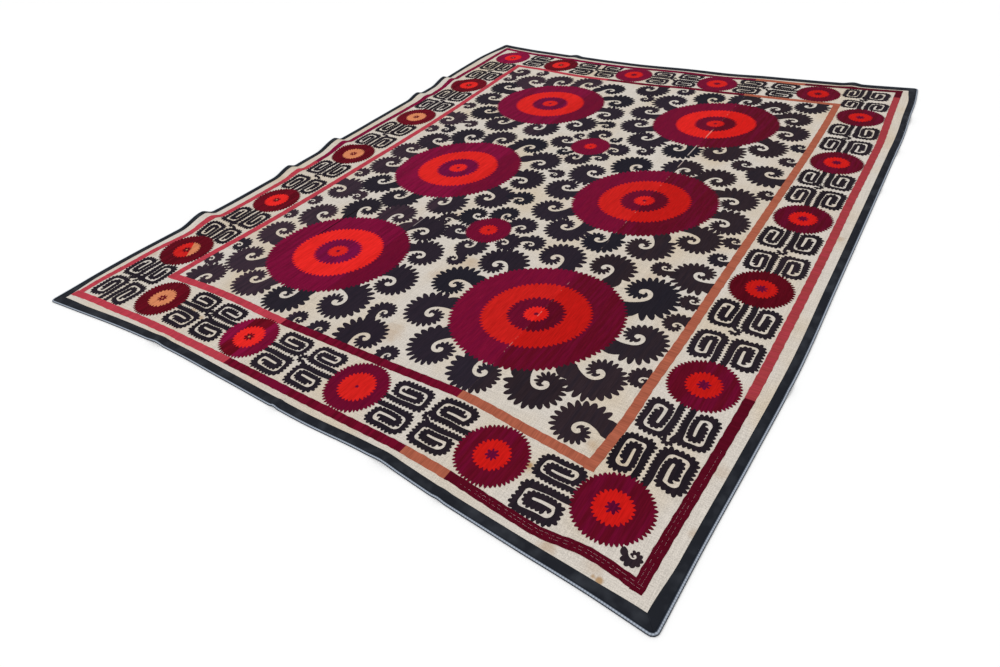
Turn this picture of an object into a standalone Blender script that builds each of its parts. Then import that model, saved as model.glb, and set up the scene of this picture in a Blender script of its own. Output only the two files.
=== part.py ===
"""A large suzani laid flat: four lengths of loom-width cotton sewn edge to edge, a dark border band
and a narrow rolled edging round the outside. Metres, +Z up, the origin under the middle of the cloth,
+X across its width and +Y along its length, away from the near end."""

import math
from typing import NamedTuple

import bmesh
import bpy
import numpy as np

# Driving dimensions
CLOTH_WIDTH = 2.100
CLOTH_LENGTH = 2.712
LOOM_WIDTH = 0.649
COTTON_THICK = 0.0020
BAND_WIDTH = 0.026
BAND_THICK = 0.0022
EDGING_WIDTH = 0.008
EDGING_THICK = 0.0036
CORNER_RADIUS = 0.016
SEWN_GAP = 0.0003

HALF_WIDTH = CLOTH_WIDTH / 2
HALF_LENGTH = CLOTH_LENGTH / 2
BORDER = EDGING_WIDTH + BAND_WIDTH
SEAMS = [HALF_WIDTH - count * LOOM_WIDTH for count in (3, 2, 1)]
LAST_SEAM_LEAN = 0.0065

# Mesh steps
STEP = 0.120
CLOSEST = 0.006
FOLD_STEPS = 4
MITRE_STEPS = 4
MITRE_REACH = 0.050
EDGING_STEPS_ACROSS = 4
BAND_STEPS_ACROSS = 1


class Bow(NamedTuple):
    """How far an edge stands out of the straight, at a place along it."""

    along: float
    shift: float


class Fold(NamedTuple):
    """A soft pucker that starts at an edge and dies out towards the middle of the cloth."""

    edge: str
    along: float
    reach: float
    before: float
    after: float
    height: float


LEFT_BOW = [
    Bow(-1.356, -0.006),
    Bow(-1.100, -0.013),
    Bow(-0.900, -0.004),
    Bow(-0.700, 0.007),
    Bow(-0.450, 0.010),
    Bow(-0.200, 0.003),
    Bow(0.100, -0.002),
    Bow(0.400, -0.007),
    Bow(0.650, -0.008),
    Bow(0.900, -0.024),
    Bow(1.150, -0.031),
    Bow(1.356, -0.012),
]
RIGHT_BOW = [
    Bow(-1.356, 0.003),
    Bow(-1.150, 0.010),
    Bow(-0.900, 0.022),
    Bow(-0.600, 0.034),
    Bow(-0.200, 0.033),
    Bow(0.200, 0.031),
    Bow(0.600, 0.028),
    Bow(0.900, 0.025),
    Bow(1.050, 0.017),
    Bow(1.200, 0.012),
    Bow(1.356, -0.002),
]
NEAR_BOW = [
    Bow(-1.050, -0.004),
    Bow(-0.900, 0.011),
    Bow(-0.750, 0.026),
    Bow(-0.500, 0.041),
    Bow(-0.200, 0.041),
    Bow(0.100, 0.039),
    Bow(0.360, 0.046),
    Bow(0.550, 0.031),
    Bow(0.750, 0.018),
    Bow(0.900, 0.010),
    Bow(1.050, -0.003),
]
FAR_BOW = [
    Bow(-1.050, 0.008),
    Bow(-0.900, -0.022),
    Bow(-0.700, -0.040),
    Bow(-0.450, -0.056),
    Bow(-0.200, -0.066),
    Bow(0.050, -0.055),
    Bow(0.250, -0.055),
    Bow(0.450, -0.036),
    Bow(0.650, -0.023),
    Bow(0.850, -0.006),
    Bow(1.050, 0.014),
]

FOLDS = [
    Fold("left", -0.765, 0.170, 0.110, 0.045, 0.0200),
    Fold("left", -0.335, 0.150, 0.090, 0.040, 0.0150),
    Fold("left", -0.055, 0.160, 0.120, 0.045, 0.0190),
    Fold("left", 0.535, 0.140, 0.080, 0.045, 0.0130),
    Fold("left", 0.760, 0.160, 0.110, 0.050, 0.0160),
    Fold("near", -0.515, 0.090, 0.060, 0.035, 0.0070),
    Fold("near", 0.002, 0.075, 0.018, 0.018, 0.0065),
    Fold("near", 0.365, 0.090, 0.050, 0.060, 0.0050),
    Fold("near", 0.540, 0.080, 0.020, 0.022, 0.0045),
    Fold("right", 1.020, 0.120, 0.060, 0.070, 0.0080),
    Fold("right", 0.720, 0.090, 0.050, 0.050, 0.0050),
    Fold("right", 0.400, 0.080, 0.045, 0.045, 0.0040),
    Fold("right", -0.660, 0.060, 0.035, 0.040, 0.0050),
    Fold("far", -0.560, 0.080, 0.050, 0.040, 0.0060),
    Fold("far", 0.800, 0.080, 0.050, 0.040, 0.0060),
]

COLOURS = {
    "cotton": (0.640, 0.590, 0.500),
    "band": (0.016, 0.018, 0.023),
    "edging": (0.130, 0.165, 0.225),
}
ROUGHNESS = {"cotton": 0.92, "band": 0.80, "edging": 0.85}


def bowed(bows, along):
    """The shift of an edge at each place along it: a smooth curve through the table's rows."""
    at = np.array([bow.along for bow in bows])
    shift = np.array([bow.shift for bow in bows])
    slope = np.gradient(shift, at)
    place = np.clip(along, at[0], at[-1])
    row = np.clip(np.searchsorted(at, place) - 1, 0, len(at) - 2)
    span = at[row + 1] - at[row]
    t = (place - at[row]) / span
    start = (1 + 2 * t) * (1 - t) ** 2 * shift[row] + t * (1 - t) ** 2 * span * slope[row]
    end = t**2 * (3 - 2 * t) * shift[row + 1] + t**2 * (t - 1) * span * slope[row + 1]
    return start + end


def rise(place, start, end):
    """0 up to the start, 1 past the end, and a smooth step between."""
    t = np.clip((place - start) / (end - start), 0, 1)
    return t**2 * (3 - 2 * t)


def lay(u, v):
    """Where a point of the straight-sided cloth lies once each edge has bowed. The bows of the two
    long edges end at the nearest seam, and the last seam leans."""
    left = 1 - rise(u, BORDER - HALF_WIDTH, SEAMS[0])
    right = rise(u, SEAMS[2], HALF_WIDTH - BORDER)
    lean = LAST_SEAM_LEAN * v * (rise(u, SEAMS[1], SEAMS[2]) - right)
    x = u + left * bowed(LEFT_BOW, v) + right * bowed(RIGHT_BOW, v) + lean
    far = (v + HALF_LENGTH) / CLOTH_LENGTH
    y = v + (1 - far) * bowed(NEAR_BOW, u) + far * bowed(FAR_BOW, u)
    return x, y


def from_edge(edge, x, y):
    """(distance inwards from an edge, place along it) of points of the laid cloth."""
    if edge == "left":
        return x + HALF_WIDTH - bowed(LEFT_BOW, y), y
    if edge == "right":
        return HALF_WIDTH + bowed(RIGHT_BOW, y) - x, y
    if edge == "near":
        return y + HALF_LENGTH - bowed(NEAR_BOW, x), x
    return HALF_LENGTH + bowed(FAR_BOW, x) - y, x


def half_wave(distance, reach):
    """1 at no distance, falling along half a cosine wave to 0 at the reach and past it."""
    return 0.5 + 0.5 * np.cos(math.pi * np.clip(np.abs(distance) / reach, 0, 1))


def height(x, y):
    """How far the cloth's underside stands off the floor."""
    z = np.zeros_like(x)
    for fold in FOLDS:
        inwards, along = from_edge(fold.edge, x, y)
        past = along - fold.along
        across = np.where(past < 0, half_wave(past, fold.before), half_wave(past, fold.after))
        z = np.maximum(z, fold.height * across * half_wave(np.maximum(inwards, 0), fold.reach))
    return z


def stations(half, step, sides, ends, kept):
    """Places along a length of the cloth, shared by all that meets there: those kept, closer ones
    over each fold of the sides, the rows that folds of the ends need, and even steps between."""
    limit = half - MITRE_REACH
    wanted = [-limit, limit, *kept]
    for fold in FOLDS:
        if fold.edge in sides:
            wanted += list(np.linspace(fold.along - fold.before, fold.along, FOLD_STEPS + 1))
            wanted += list(np.linspace(fold.along, fold.along + fold.after, FOLD_STEPS + 1)[1:])
    for end, way in zip(ends, (1, -1)):
        reach = max(fold.reach for fold in FOLDS if fold.edge == end)
        rows = np.linspace(BORDER, reach, FOLD_STEPS + 1)[1:]
        wanted += list(way * (rows - half))
    wanted += list(np.linspace(-limit, limit, round(2 * limit / step) + 1))
    places = []
    for place in wanted:
        if abs(place) <= limit and all(abs(place - other) > CLOSEST for other in places):
            places.append(place)
    return np.array(sorted(places))


def finish_of(name):
    """The cloth's material, with its colour and roughness."""
    material = bpy.data.materials.get(name) or bpy.data.materials.new(name)
    material.use_nodes = True
    shader = material.node_tree.nodes["Principled BSDF"]
    shader.inputs["Base Color"].default_value = (*COLOURS[name], 1)
    shader.inputs["Roughness"].default_value = ROUGHNESS[name]
    shader.inputs["Metallic"].default_value = 0
    material.diffuse_color = (*COLOURS[name], 1)
    return material


def sheet(name, finish, u, v, thick):
    """A sheet of cloth over a grid of straight-sided places: laid, lifted over its folds, and given
    its thickness by an extrusion. Thick is one thickness, or one for each place across."""
    rows, columns = u.shape
    x, y = lay(u, v)
    z = height(x, y)
    bm = bmesh.new()
    bmesh.ops.create_grid(bm, x_segments=columns - 1, y_segments=rows - 1, size=1)
    top = np.broadcast_to(thick, u.shape)
    lift = {}
    for vert in bm.verts:
        column = round((vert.co.x + 1) / 2 * (columns - 1))
        row = round((vert.co.y + 1) / 2 * (rows - 1))
        vert.co = (x[row, column], y[row, column], z[row, column])
        lift[(vert.co.x, vert.co.y)] = top[row, column]
    made = bmesh.ops.extrude_face_region(bm, geom=bm.faces[:])["geom"]
    for vert in made:
        if isinstance(vert, bmesh.types.BMVert):
            vert.co.z += lift[(vert.co.x, vert.co.y)]
    bmesh.ops.recalc_face_normals(bm, faces=bm.faces[:])
    mesh = bpy.data.meshes.new(name)
    bm.to_mesh(mesh)
    bm.free()
    mesh.shade_smooth()
    mesh.set_sharp_from_angle(angle=math.radians(40))
    mesh.materials.append(finish_of(finish))
    cloth = bpy.data.objects.new(name, mesh)
    bpy.data.collections["suzani"].objects.link(cloth)
    return cloth


def cotton_panel(name, left, right, across, along):
    """One loom width of the ground cotton, between two seams or a seam and the border band."""
    end = HALF_LENGTH - BORDER - SEWN_GAP
    inside = across[(across > left + CLOSEST / 2) & (across < right - CLOSEST / 2)]
    u, v = np.meshgrid([left, *inside, right], [-end, *along, end])
    return sheet(name, "cotton", u, v, COTTON_THICK)


def boundary(half, depth, along):
    """A line of constant depth inside the cloth's edge, from mitre to mitre, that turns into the
    rounded corner at each end. Along is a place for each point, from -1 - 1 to 1 + 1: past 1 either
    way it is a share of the corner's path."""
    straight = half - MITRE_REACH
    radius = max(CORNER_RADIUS - depth, 0)
    run = MITRE_REACH - max(CORNER_RADIUS, depth)
    path = run + radius * math.pi / 4
    share = np.maximum(np.abs(along) - 1, 0)
    turn = np.clip((share * path - run) / max(radius, 1e-9), 0, math.pi / 4)
    s = np.minimum(np.abs(along), 1) * straight
    s += np.minimum(share * path, run) + radius * np.sin(turn)
    s -= share * SEWN_GAP / math.sqrt(2)
    return np.sign(along) * s, depth + radius * (1 - np.cos(turn))


def border_strip(name, finish, edge, outer, inner, thick, places):
    """One side's strip of the border between two depths, mitred to its neighbours."""
    half = HALF_WIDTH if edge in ("near", "far") else HALF_LENGTH
    straight = half - MITRE_REACH
    corner = 1 + np.linspace(0, 1, MITRE_STEPS + 1)[1:]
    along = np.array([*(-corner[::-1]), *(places / straight), *corner])
    depths = np.linspace(outer, inner, len(thick))
    s, d = np.stack([boundary(half, depth, along) for depth in depths], axis=2)
    sides = {
        "near": (s, d - HALF_LENGTH),
        "far": (s, HALF_LENGTH - d),
        "left": (d - HALF_WIDTH, s),
        "right": (HALF_WIDTH - d, s),
    }
    u, v = sides[edge]
    return sheet(name, finish, u, v, thick)


def rolled(steps):
    """The thickness across the rolled edging: a low half round on its flat underside."""
    across = np.linspace(-1, 1, steps + 1)
    return EDGING_THICK * (0.35 + 0.65 * np.sqrt(1 - (0.98 * across) ** 2))


def clear_scene():
    """Removes what the scene starts with."""
    for thing in list(bpy.data.objects):
        bpy.data.objects.remove(thing)
    collection = bpy.data.collections.new("suzani")
    bpy.context.scene.collection.children.link(collection)


def main():
    clear_scene()
    across = stations(HALF_WIDTH, STEP, ("near", "far"), ("left", "right"), SEAMS)
    along = stations(HALF_LENGTH, STEP, ("left", "right"), ("near", "far"), ())
    lefts = [BORDER + SEWN_GAP - HALF_WIDTH, *(seam + SEWN_GAP / 2 for seam in SEAMS)]
    rights = [*(seam - SEWN_GAP / 2 for seam in SEAMS), HALF_WIDTH - BORDER - SEWN_GAP]
    names = ["cotton_left", "cotton_mid_left", "cotton_mid_right", "cotton_right"]
    for name, left, right in zip(names, lefts, rights):
        cotton_panel(name, left, right, across, along)
    band = np.full(BAND_STEPS_ACROSS + 1, BAND_THICK)
    edging = rolled(EDGING_STEPS_ACROSS)
    for edge, places in (("near", across), ("far", across), ("left", along), ("right", along)):
        border_strip(f"band_{edge}", "band", edge, EDGING_WIDTH + SEWN_GAP, BORDER, band, places)
        border_strip(f"edging_{edge}", "edging", edge, 0, EDGING_WIDTH, edging, places)


main()
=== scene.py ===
"""Looks of a large suzani laid flat on a pale floor. Four lengths of cream loom-width cotton carry
silk needlework: six great rosettes ringed with toothed leaves, a border of small rosettes between
toothed scrolls, and two frames of stripes. A dark band and a narrow rolled edging go round them."""

import logging
import math
from dataclasses import dataclass
from enum import Enum
from typing import ClassVar, NamedTuple, NewType

import bpy
import numpy as np
from mathutils import Matrix, Vector
from mathutils.geometry import delaunay_2d_cdt


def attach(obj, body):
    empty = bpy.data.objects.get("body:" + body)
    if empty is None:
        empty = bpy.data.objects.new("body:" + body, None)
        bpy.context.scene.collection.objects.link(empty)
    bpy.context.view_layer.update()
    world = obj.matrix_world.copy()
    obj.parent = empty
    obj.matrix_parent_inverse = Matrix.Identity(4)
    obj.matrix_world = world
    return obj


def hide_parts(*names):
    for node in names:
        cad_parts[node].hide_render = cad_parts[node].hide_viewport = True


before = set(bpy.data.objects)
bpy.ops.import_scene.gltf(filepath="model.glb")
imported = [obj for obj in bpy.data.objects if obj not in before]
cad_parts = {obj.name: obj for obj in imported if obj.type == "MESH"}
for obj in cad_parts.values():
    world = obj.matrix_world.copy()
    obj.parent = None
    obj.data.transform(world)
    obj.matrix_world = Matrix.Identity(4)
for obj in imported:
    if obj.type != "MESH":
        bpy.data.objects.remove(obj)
log = logging.getLogger("suzani")

# Driving sizes of the cloth, in metres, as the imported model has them
CLOTH_WIDTH = 2.100
CLOTH_LENGTH = 2.712
LOOM_WIDTH = 0.649
COTTON_THICK = 0.0020
BAND_WIDTH = 0.026
BAND_THICK = 0.0022
EDGING_WIDTH = 0.008
EDGING_THICK = 0.0036
CORNER_RADIUS = 0.016
SEWN_GAP = 0.0003
MITRE_REACH = 0.050

HALF_WIDTH = CLOTH_WIDTH / 2
HALF_LENGTH = CLOTH_LENGTH / 2
BORDER = EDGING_WIDTH + BAND_WIDTH
SEAMS = [HALF_WIDTH - count * LOOM_WIDTH for count in (3, 2, 1)]
LAST_SEAM_LEAN = 0.0065

SEED = 20

Length = NewType("Length", float)


class Bow(NamedTuple):
    """How far an edge stands out of the straight, at a place along it."""

    along: Length
    shift: Length


class Fold(NamedTuple):
    """A soft pucker that starts at an edge and dies out towards the middle of the cloth: where its
    crest is along the edge, how far in it reaches, how wide it is before and after the crest."""

    edge: str
    along: Length
    reach: Length
    before: Length
    after: Length
    height: Length


class Ripple(NamedTuple):
    """One gentle wave of the laid cloth: length, heading in degrees, start in radians, height."""

    length: Length
    heading: float
    start: float
    height: Length


def table(kind: type, *rows: tuple) -> list:
    """A table's rows as named records. Lengths are written in millimetres and kept in metres.

    Args:
        kind: the record, whose fields are the table's columns.
        rows: the plain rows.

    Returns:
        A record for each row.
    """
    long = [kind.__annotations__[name] is Length for name in kind._fields]
    return [kind(*(v / 1000 if is_long else v for v, is_long in zip(row, long))) for row in rows]


LEFT_BOW = table(
    Bow,
    (-1356, -6), (-1100, -13), (-900, -4), (-700, 7), (-450, 10), (-200, 3), (100, -2), (400, -7),
    (650, -8), (900, -24), (1150, -31), (1356, -12),
)
RIGHT_BOW = table(
    Bow,
    (-1356, 3), (-1150, 10), (-900, 22), (-600, 34), (-200, 33), (200, 31), (600, 28), (900, 25),
    (1050, 17), (1200, 12), (1356, -2),
)
NEAR_BOW = table(
    Bow,
    (-1050, -4), (-900, 11), (-750, 26), (-500, 41), (-200, 41), (100, 39), (360, 46), (550, 31),
    (750, 18), (900, 10), (1050, -3),
)
FAR_BOW = table(
    Bow,
    (-1050, 8), (-900, -22), (-700, -40), (-450, -56), (-200, -66), (50, -55), (250, -55),
    (450, -36), (650, -23), (850, -6), (1050, 14),
)
FOLDS = table(
    Fold,
    ("left", -765, 170, 110, 45, 20), ("left", -335, 150, 90, 40, 15),
    ("left", -55, 160, 120, 45, 19), ("left", 535, 140, 80, 45, 13),
    ("left", 760, 160, 110, 50, 16), ("near", -515, 90, 60, 35, 7), ("near", 2, 75, 18, 18, 6.5),
    ("near", 365, 90, 50, 60, 5), ("near", 540, 80, 20, 22, 4.5), ("right", 1020, 120, 60, 70, 8),
    ("right", 720, 90, 50, 50, 5), ("right", 400, 80, 45, 45, 4), ("right", -660, 60, 35, 40, 5),
    ("far", -560, 80, 50, 40, 6), ("far", 800, 80, 50, 40, 6),
)
RIPPLES = table(
    Ripple,
    (310, 12, 0.4, 0.5), (230, 78, 2.1, 0.4), (170, -38, 1.3, 0.3), (120, 51, 3.7, 0.2),
)


class Narrow(NamedTuple):
    """How much less of the band shows on a side's upper face, away from the corners."""

    edge: str
    less: Length


NARROW = table(Narrow, ("near", 3.5), ("right", 6.5), ("left", 9))


class Edge(Enum):
    """A side of the cloth."""

    NEAR = "near"
    FAR = "far"
    LEFT = "left"
    RIGHT = "right"


class Way(Enum):
    """A direction over the laid cloth, as steps along X and Y."""

    RIGHT = (1, 0)
    LEFT = (-1, 0)
    FAR = (0, 1)
    NEAR = (0, -1)


def linear(colour: str) -> tuple[float, float, float, float]:
    """Turns an sRGB hex value into linear light.

    Args:
        colour: a value such as "#D9CFC0".

    Returns:
        Red, green and blue from 0 to 1, and 1 for solid.
    """
    parts = [int(colour[at : at + 2], 16) / 255 for at in (1, 3, 5)]
    red, green, blue = (p / 12.92 if p <= 0.04045 else ((p + 0.055) / 1.055) ** 2.4 for p in parts)
    return red, green, blue, 1.0


def through(rows: list, place: np.ndarray) -> np.ndarray:
    """A smooth curve through the rows of a two-column table: a cubic between each two rows, whose
    slope at a row is the mean of the slopes beside it. Held level past the first and last row.

    Args:
        rows: pairs of a place and a value, in the order of their places.
        place: where to read the curve.

    Returns:
        The value at each place.
    """
    at, value = np.array(rows, float).T
    slope = np.gradient(value, at)
    place = np.clip(place, at[0], at[-1])
    row = np.clip(np.searchsorted(at, place) - 1, 0, len(at) - 2)
    span = at[row + 1] - at[row]
    t = (place - at[row]) / span
    start = (1 + 2 * t) * (1 - t) ** 2 * value[row] + t * (1 - t) ** 2 * span * slope[row]
    end = t**2 * (3 - 2 * t) * value[row + 1] + t**2 * (t - 1) * span * slope[row + 1]
    return start + end


def rise(place: np.ndarray, start: float, end: float) -> np.ndarray:
    """0 up to the start, 1 past the end, and the smooth step 3t^2 - 2t^3 between them."""
    t = np.clip((place - start) / (end - start), 0, 1)
    return t**2 * (3 - 2 * t)


def shown_less(edge: str, along: np.ndarray, half: float) -> np.ndarray:
    """How much narrower the band shows along a side, dying out over 120 mm at its ends.

    Args:
        edge: the side.
        along: places along it.
        half: half its length.

    Returns:
        The width that does not show at each place.
    """
    less = sum(row.less for row in NARROW if row.edge == edge)
    return less * (1 - rise(np.abs(along), half - 0.160, half - 0.040))


def half_wave(distance: np.ndarray, reach: np.ndarray | float) -> np.ndarray:
    """1 at no distance, falling along half a cosine wave to 0 at the reach and past it."""
    return 0.5 + 0.5 * np.cos(math.pi * np.clip(np.abs(distance) / reach, 0, 1))


def gone_along(line: np.ndarray) -> np.ndarray:
    """How far along a line each of its points is."""
    return np.concatenate([[0], np.linalg.norm(np.diff(line, axis=0), axis=1).cumsum()])


def read_off(line: np.ndarray, gone: np.ndarray, places: np.ndarray) -> np.ndarray:
    """Reads a line's points, or its steps, at places along it."""
    return np.stack([np.interp(places, gone, line[:, axis]) for axis in (0, 1)], 1)


def unit(steps: np.ndarray) -> np.ndarray:
    """Steps over the plane made one long each."""
    return steps / np.maximum(np.linalg.norm(steps, axis=1, keepdims=True), 1e-9)


def to_right(steps: np.ndarray) -> np.ndarray:
    """Steps over the plane turned a quarter to the right."""
    return np.stack([steps[:, 1], -steps[:, 0]], 1)


class Ground:
    """The laid cloth as a surface: where each of its points lies, and how high."""

    @staticmethod
    def lay(u: np.ndarray, v: np.ndarray) -> tuple[np.ndarray, np.ndarray]:
        """Bows the straight-sided cloth. The long edges' bows end at the nearest seam.

        Args:
            u: places across the straight-sided cloth.
            v: places along it.

        Returns:
            X and Y of the laid cloth.
        """
        left = 1 - rise(u, BORDER - HALF_WIDTH, SEAMS[0])
        right = rise(u, SEAMS[2], HALF_WIDTH - BORDER)
        lean = LAST_SEAM_LEAN * v * (rise(u, SEAMS[1], SEAMS[2]) - right)
        x = u + left * through(LEFT_BOW, v) + right * through(RIGHT_BOW, v) + lean
        far = (v + HALF_LENGTH) / CLOTH_LENGTH
        y = v + (1 - far) * through(NEAR_BOW, u) + far * through(FAR_BOW, u)
        return x, y

    @staticmethod
    def from_edge(edge: str, x: np.ndarray, y: np.ndarray) -> tuple[np.ndarray, np.ndarray]:
        """Measures places against an edge of the laid cloth.

        Args:
            edge: near, far, left or right.
            x: the places' X.
            y: their Y.

        Returns:
            The distance inwards from the edge, and the place along it.
        """
        if edge == "left":
            return x + HALF_WIDTH - through(LEFT_BOW, y), y
        if edge == "right":
            return HALF_WIDTH + through(RIGHT_BOW, y) - x, y
        if edge == "near":
            return y + HALF_LENGTH - through(NEAR_BOW, x), x
        return HALF_LENGTH + through(FAR_BOW, x) - y, x

    @classmethod
    def under(cls, x: np.ndarray, y: np.ndarray) -> np.ndarray:
        """Height of the cloth's underside: the highest fold there, each a half wave across and
        inwards, and over it the gentle ripples, each height * (1 + sin(2 pi s / length)) / 2.

        Args:
            x: the places' X.
            y: their Y.

        Returns:
            The height at each place.
        """
        z = np.zeros_like(x)
        for fold in FOLDS:
            inwards, along = cls.from_edge(fold.edge, x, y)
            past = along - fold.along
            across = np.where(past < 0, half_wave(past, fold.before), half_wave(past, fold.after))
            z = np.maximum(z, fold.height * across * half_wave(np.maximum(inwards, 0), fold.reach))
        for wave in RIPPLES:
            heading = math.radians(wave.heading)
            run = x * math.cos(heading) + y * math.sin(heading)
            z = z + wave.height * (0.5 + 0.5 * np.sin(2 * math.pi * run / wave.length + wave.start))
        return z

    @classmethod
    def top(cls, x: np.ndarray, y: np.ndarray) -> np.ndarray:
        """Height of the cotton's upper face."""
        return cls.under(x, y) + COTTON_THICK


def put(name: str, data: bpy.types.ID) -> bpy.types.Object:
    """Puts an object with its data in the scene, at the origin."""
    made = bpy.data.objects.new(name, data)
    bpy.context.scene.collection.objects.link(made)
    return made


def make_piece(
    name: str,
    points: np.ndarray,
    faces: list | np.ndarray,
    material: bpy.types.Material,
    sharp: float = 30,
) -> bpy.types.Object:
    """Makes a mesh object at the origin that rides on the part's one body.

    Args:
        name: the piece's name.
        points: its points, one row each.
        faces: lists of point numbers, going round each face as seen from outside.
        material: its finish.
        sharp: the angle in degrees past which an edge stays crisp.

    Returns:
        The new object.
    """
    mesh = bpy.data.meshes.new(name)
    mesh.from_pydata(points.tolist(), [], faces if isinstance(faces, list) else faces.tolist())
    mesh.shade_smooth()
    mesh.set_sharp_from_angle(angle=math.radians(sharp))
    mesh.materials.append(material)
    piece = put(name, mesh)
    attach(piece, "root")
    log.info("%s: %d points, %d faces", name, len(points), len(mesh.polygons))
    return piece


def both_faces(
    x: np.ndarray, y: np.ndarray, low: np.ndarray, thick: np.ndarray | float
) -> np.ndarray:
    """A closed sheet's points over a grid: those of its upper face, then those of its lower."""
    return np.concatenate([np.stack([x, y, z], -1).reshape(-1, 3) for z in (low + thick, low)])


def shell_faces(rows: int, columns: int) -> np.ndarray:
    """Faces of a closed sheet over a grid: its upper points come first, row by row, then its lower
    points. The columns run to the right of the rows' heading, so the upper face looks up.

    Args:
        rows: points along the grid.
        columns: points across it.

    Returns:
        Four point numbers for each face.
    """
    number = np.arange(rows * columns).reshape(rows, columns)
    a, b, c, d = number[:-1, :-1], number[:-1, 1:], number[1:, 1:], number[1:, :-1]
    up = np.stack([a, b, c, d], -1).reshape(-1, 4)
    down = up[:, ::-1] + rows * columns
    rim = np.concatenate([number[0, :-1], number[:-1, -1], number[-1, :0:-1], number[:0:-1, 0]])
    after = np.roll(rim, -1)
    wall = np.stack([rim, rim + rows * columns, after + rows * columns, after], -1)
    return np.concatenate([up, down, wall])


def paint_uv(piece: bpy.types.Object, run: np.ndarray, across: np.ndarray) -> None:
    """Gives a piece a UV map in metres.

    Args:
        piece: the piece.
        run: how far along it each point is.
        across: how far across it.
    """
    layer = piece.data.uv_layers.new(name="run")
    corner = np.zeros(len(piece.data.loops), np.int32)
    piece.data.loops.foreach_get("vertex_index", corner)
    layer.data.foreach_set("uv", np.stack([run, across], 1)[corner].astype(np.float32).ravel())


Value = bpy.types.NodeSocket | float | tuple


class Graph:
    """A material's nodes, with the few joins that every finish here needs."""

    def __init__(self, name: str) -> None:
        """Starts an empty material with a shader and an output."""
        self.material = bpy.data.materials.new(name)
        self.material.use_nodes = True
        self.tree = self.material.node_tree
        self.tree.nodes.clear()
        self.shader = self.add("ShaderNodeBsdfPrincipled")
        self.add("ShaderNodeOutputMaterial", inputs={"Surface": self.shader.outputs[0]})
        self.place = self.add("ShaderNodeTexCoord").outputs["Object"]
        self.flat = self.add("ShaderNodeTexCoord").outputs["UV"]
        axes = self.add("ShaderNodeSeparateXYZ", inputs={0: self.place})
        self.x, self.y = axes.outputs[0], axes.outputs[1]

    def add(
        self, kind: str, settings: dict | None = None, inputs: dict | None = None
    ) -> bpy.types.Node:
        """Adds a node.

        Args:
            kind: the node's type.
            settings: its own properties.
            inputs: a value or another node's output for each named or numbered input.

        Returns:
            The node.
        """
        node = self.tree.nodes.new(kind)
        for key, value in (settings or {}).items():
            setattr(node, key, value)
        self.feed(node, inputs or {})
        return node

    def feed(self, node: bpy.types.Node, inputs: dict) -> None:
        """Sets or links a node's inputs."""
        for key, value in inputs.items():
            if isinstance(value, bpy.types.NodeSocket):
                self.tree.links.new(value, node.inputs[key])
            else:
                node.inputs[key].default_value = value

    def dress(
        self, colour: Value, rough: float, gloss: float, tilt: Value | None = None
    ) -> bpy.types.Material:
        """Gives the shader its colour, roughness, gloss and tilt, and hands over the material."""
        inputs = {"Base Color": colour, "Roughness": rough, "Specular IOR Level": gloss}
        self.feed(self.shader, inputs if tilt is None else inputs | {"Normal": tilt})
        return self.material

    def sum(
        self, operation: str, first: Value, second: Value = 0.0, third: Value = 0.0
    ) -> bpy.types.NodeSocket:
        """The output of one arithmetic step."""
        node = self.add("ShaderNodeMath", {"operation": operation}, {0: first, 1: second, 2: third})
        return node.outputs[0]

    def span(
        self, value: Value, low: float, high: float, to_low: float = 0, to_high: float = 1
    ) -> bpy.types.NodeSocket:
        """Maps a value from one span to another, held at both ends."""
        inputs = {"Value": value, 1: low, 2: high, 3: to_low, 4: to_high}
        return self.add("ShaderNodeMapRange", {"clamp": True}, inputs).outputs[0]

    def grain(
        self, sizes: tuple, detail: float = 2, source: Value | None = None
    ) -> bpy.types.NodeSocket:
        """Soft noise.

        Args:
            sizes: its patches' sizes in metres along X, Y and Z.
            detail: how many finer layers it has.
            source: the place it is read at, or the point's own.

        Returns:
            The noise, from 0 to 1.
        """
        scale = tuple(1 / size for size in sizes)
        inputs = {"Vector": source or self.place, "Scale": scale}
        moved = self.add("ShaderNodeMapping", inputs=inputs).outputs[0]
        settings = {"noise_dimensions": "3D"}
        inputs = {"Vector": moved, "Scale": 1.0, "Detail": detail, "Roughness": 0.5}
        return self.add("ShaderNodeTexNoise", settings, inputs).outputs["Fac"]

    def blend(self, share: Value, first: Value | str, second: Value | str) -> bpy.types.NodeSocket:
        """Mixes two colours by a share. A colour may be an sRGB hex value."""
        first, second = (linear(c) if isinstance(c, str) else c for c in (first, second))
        inputs = {0: share, 6: first, 7: second}
        return self.add("ShaderNodeMix", {"data_type": "RGBA"}, inputs).outputs[2]

    def shade(self, colour: Value, share: Value) -> bpy.types.NodeSocket:
        """Darkens or lightens a colour by a factor."""
        inputs = {0: colour, "Scale": share}
        return self.add("ShaderNodeVectorMath", {"operation": "SCALE"}, inputs).outputs[0]

    def bump(
        self, height: Value, depth: float, strength: float = 1.0, below: Value | None = None
    ) -> bpy.types.NodeSocket:
        """Tilts the surface by a height that stands for the given depth in metres."""
        inputs = {"Height": height, "Distance": depth, "Strength": strength}
        inputs = inputs if below is None else inputs | {"Normal": below}
        return self.add("ShaderNodeBump", inputs=inputs).outputs[0]


class Stain(NamedTuple):
    """A brown water mark in the cotton: its middle, its size and how dark it is."""

    x: Length
    y: Length
    size: Length
    depth: float


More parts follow.
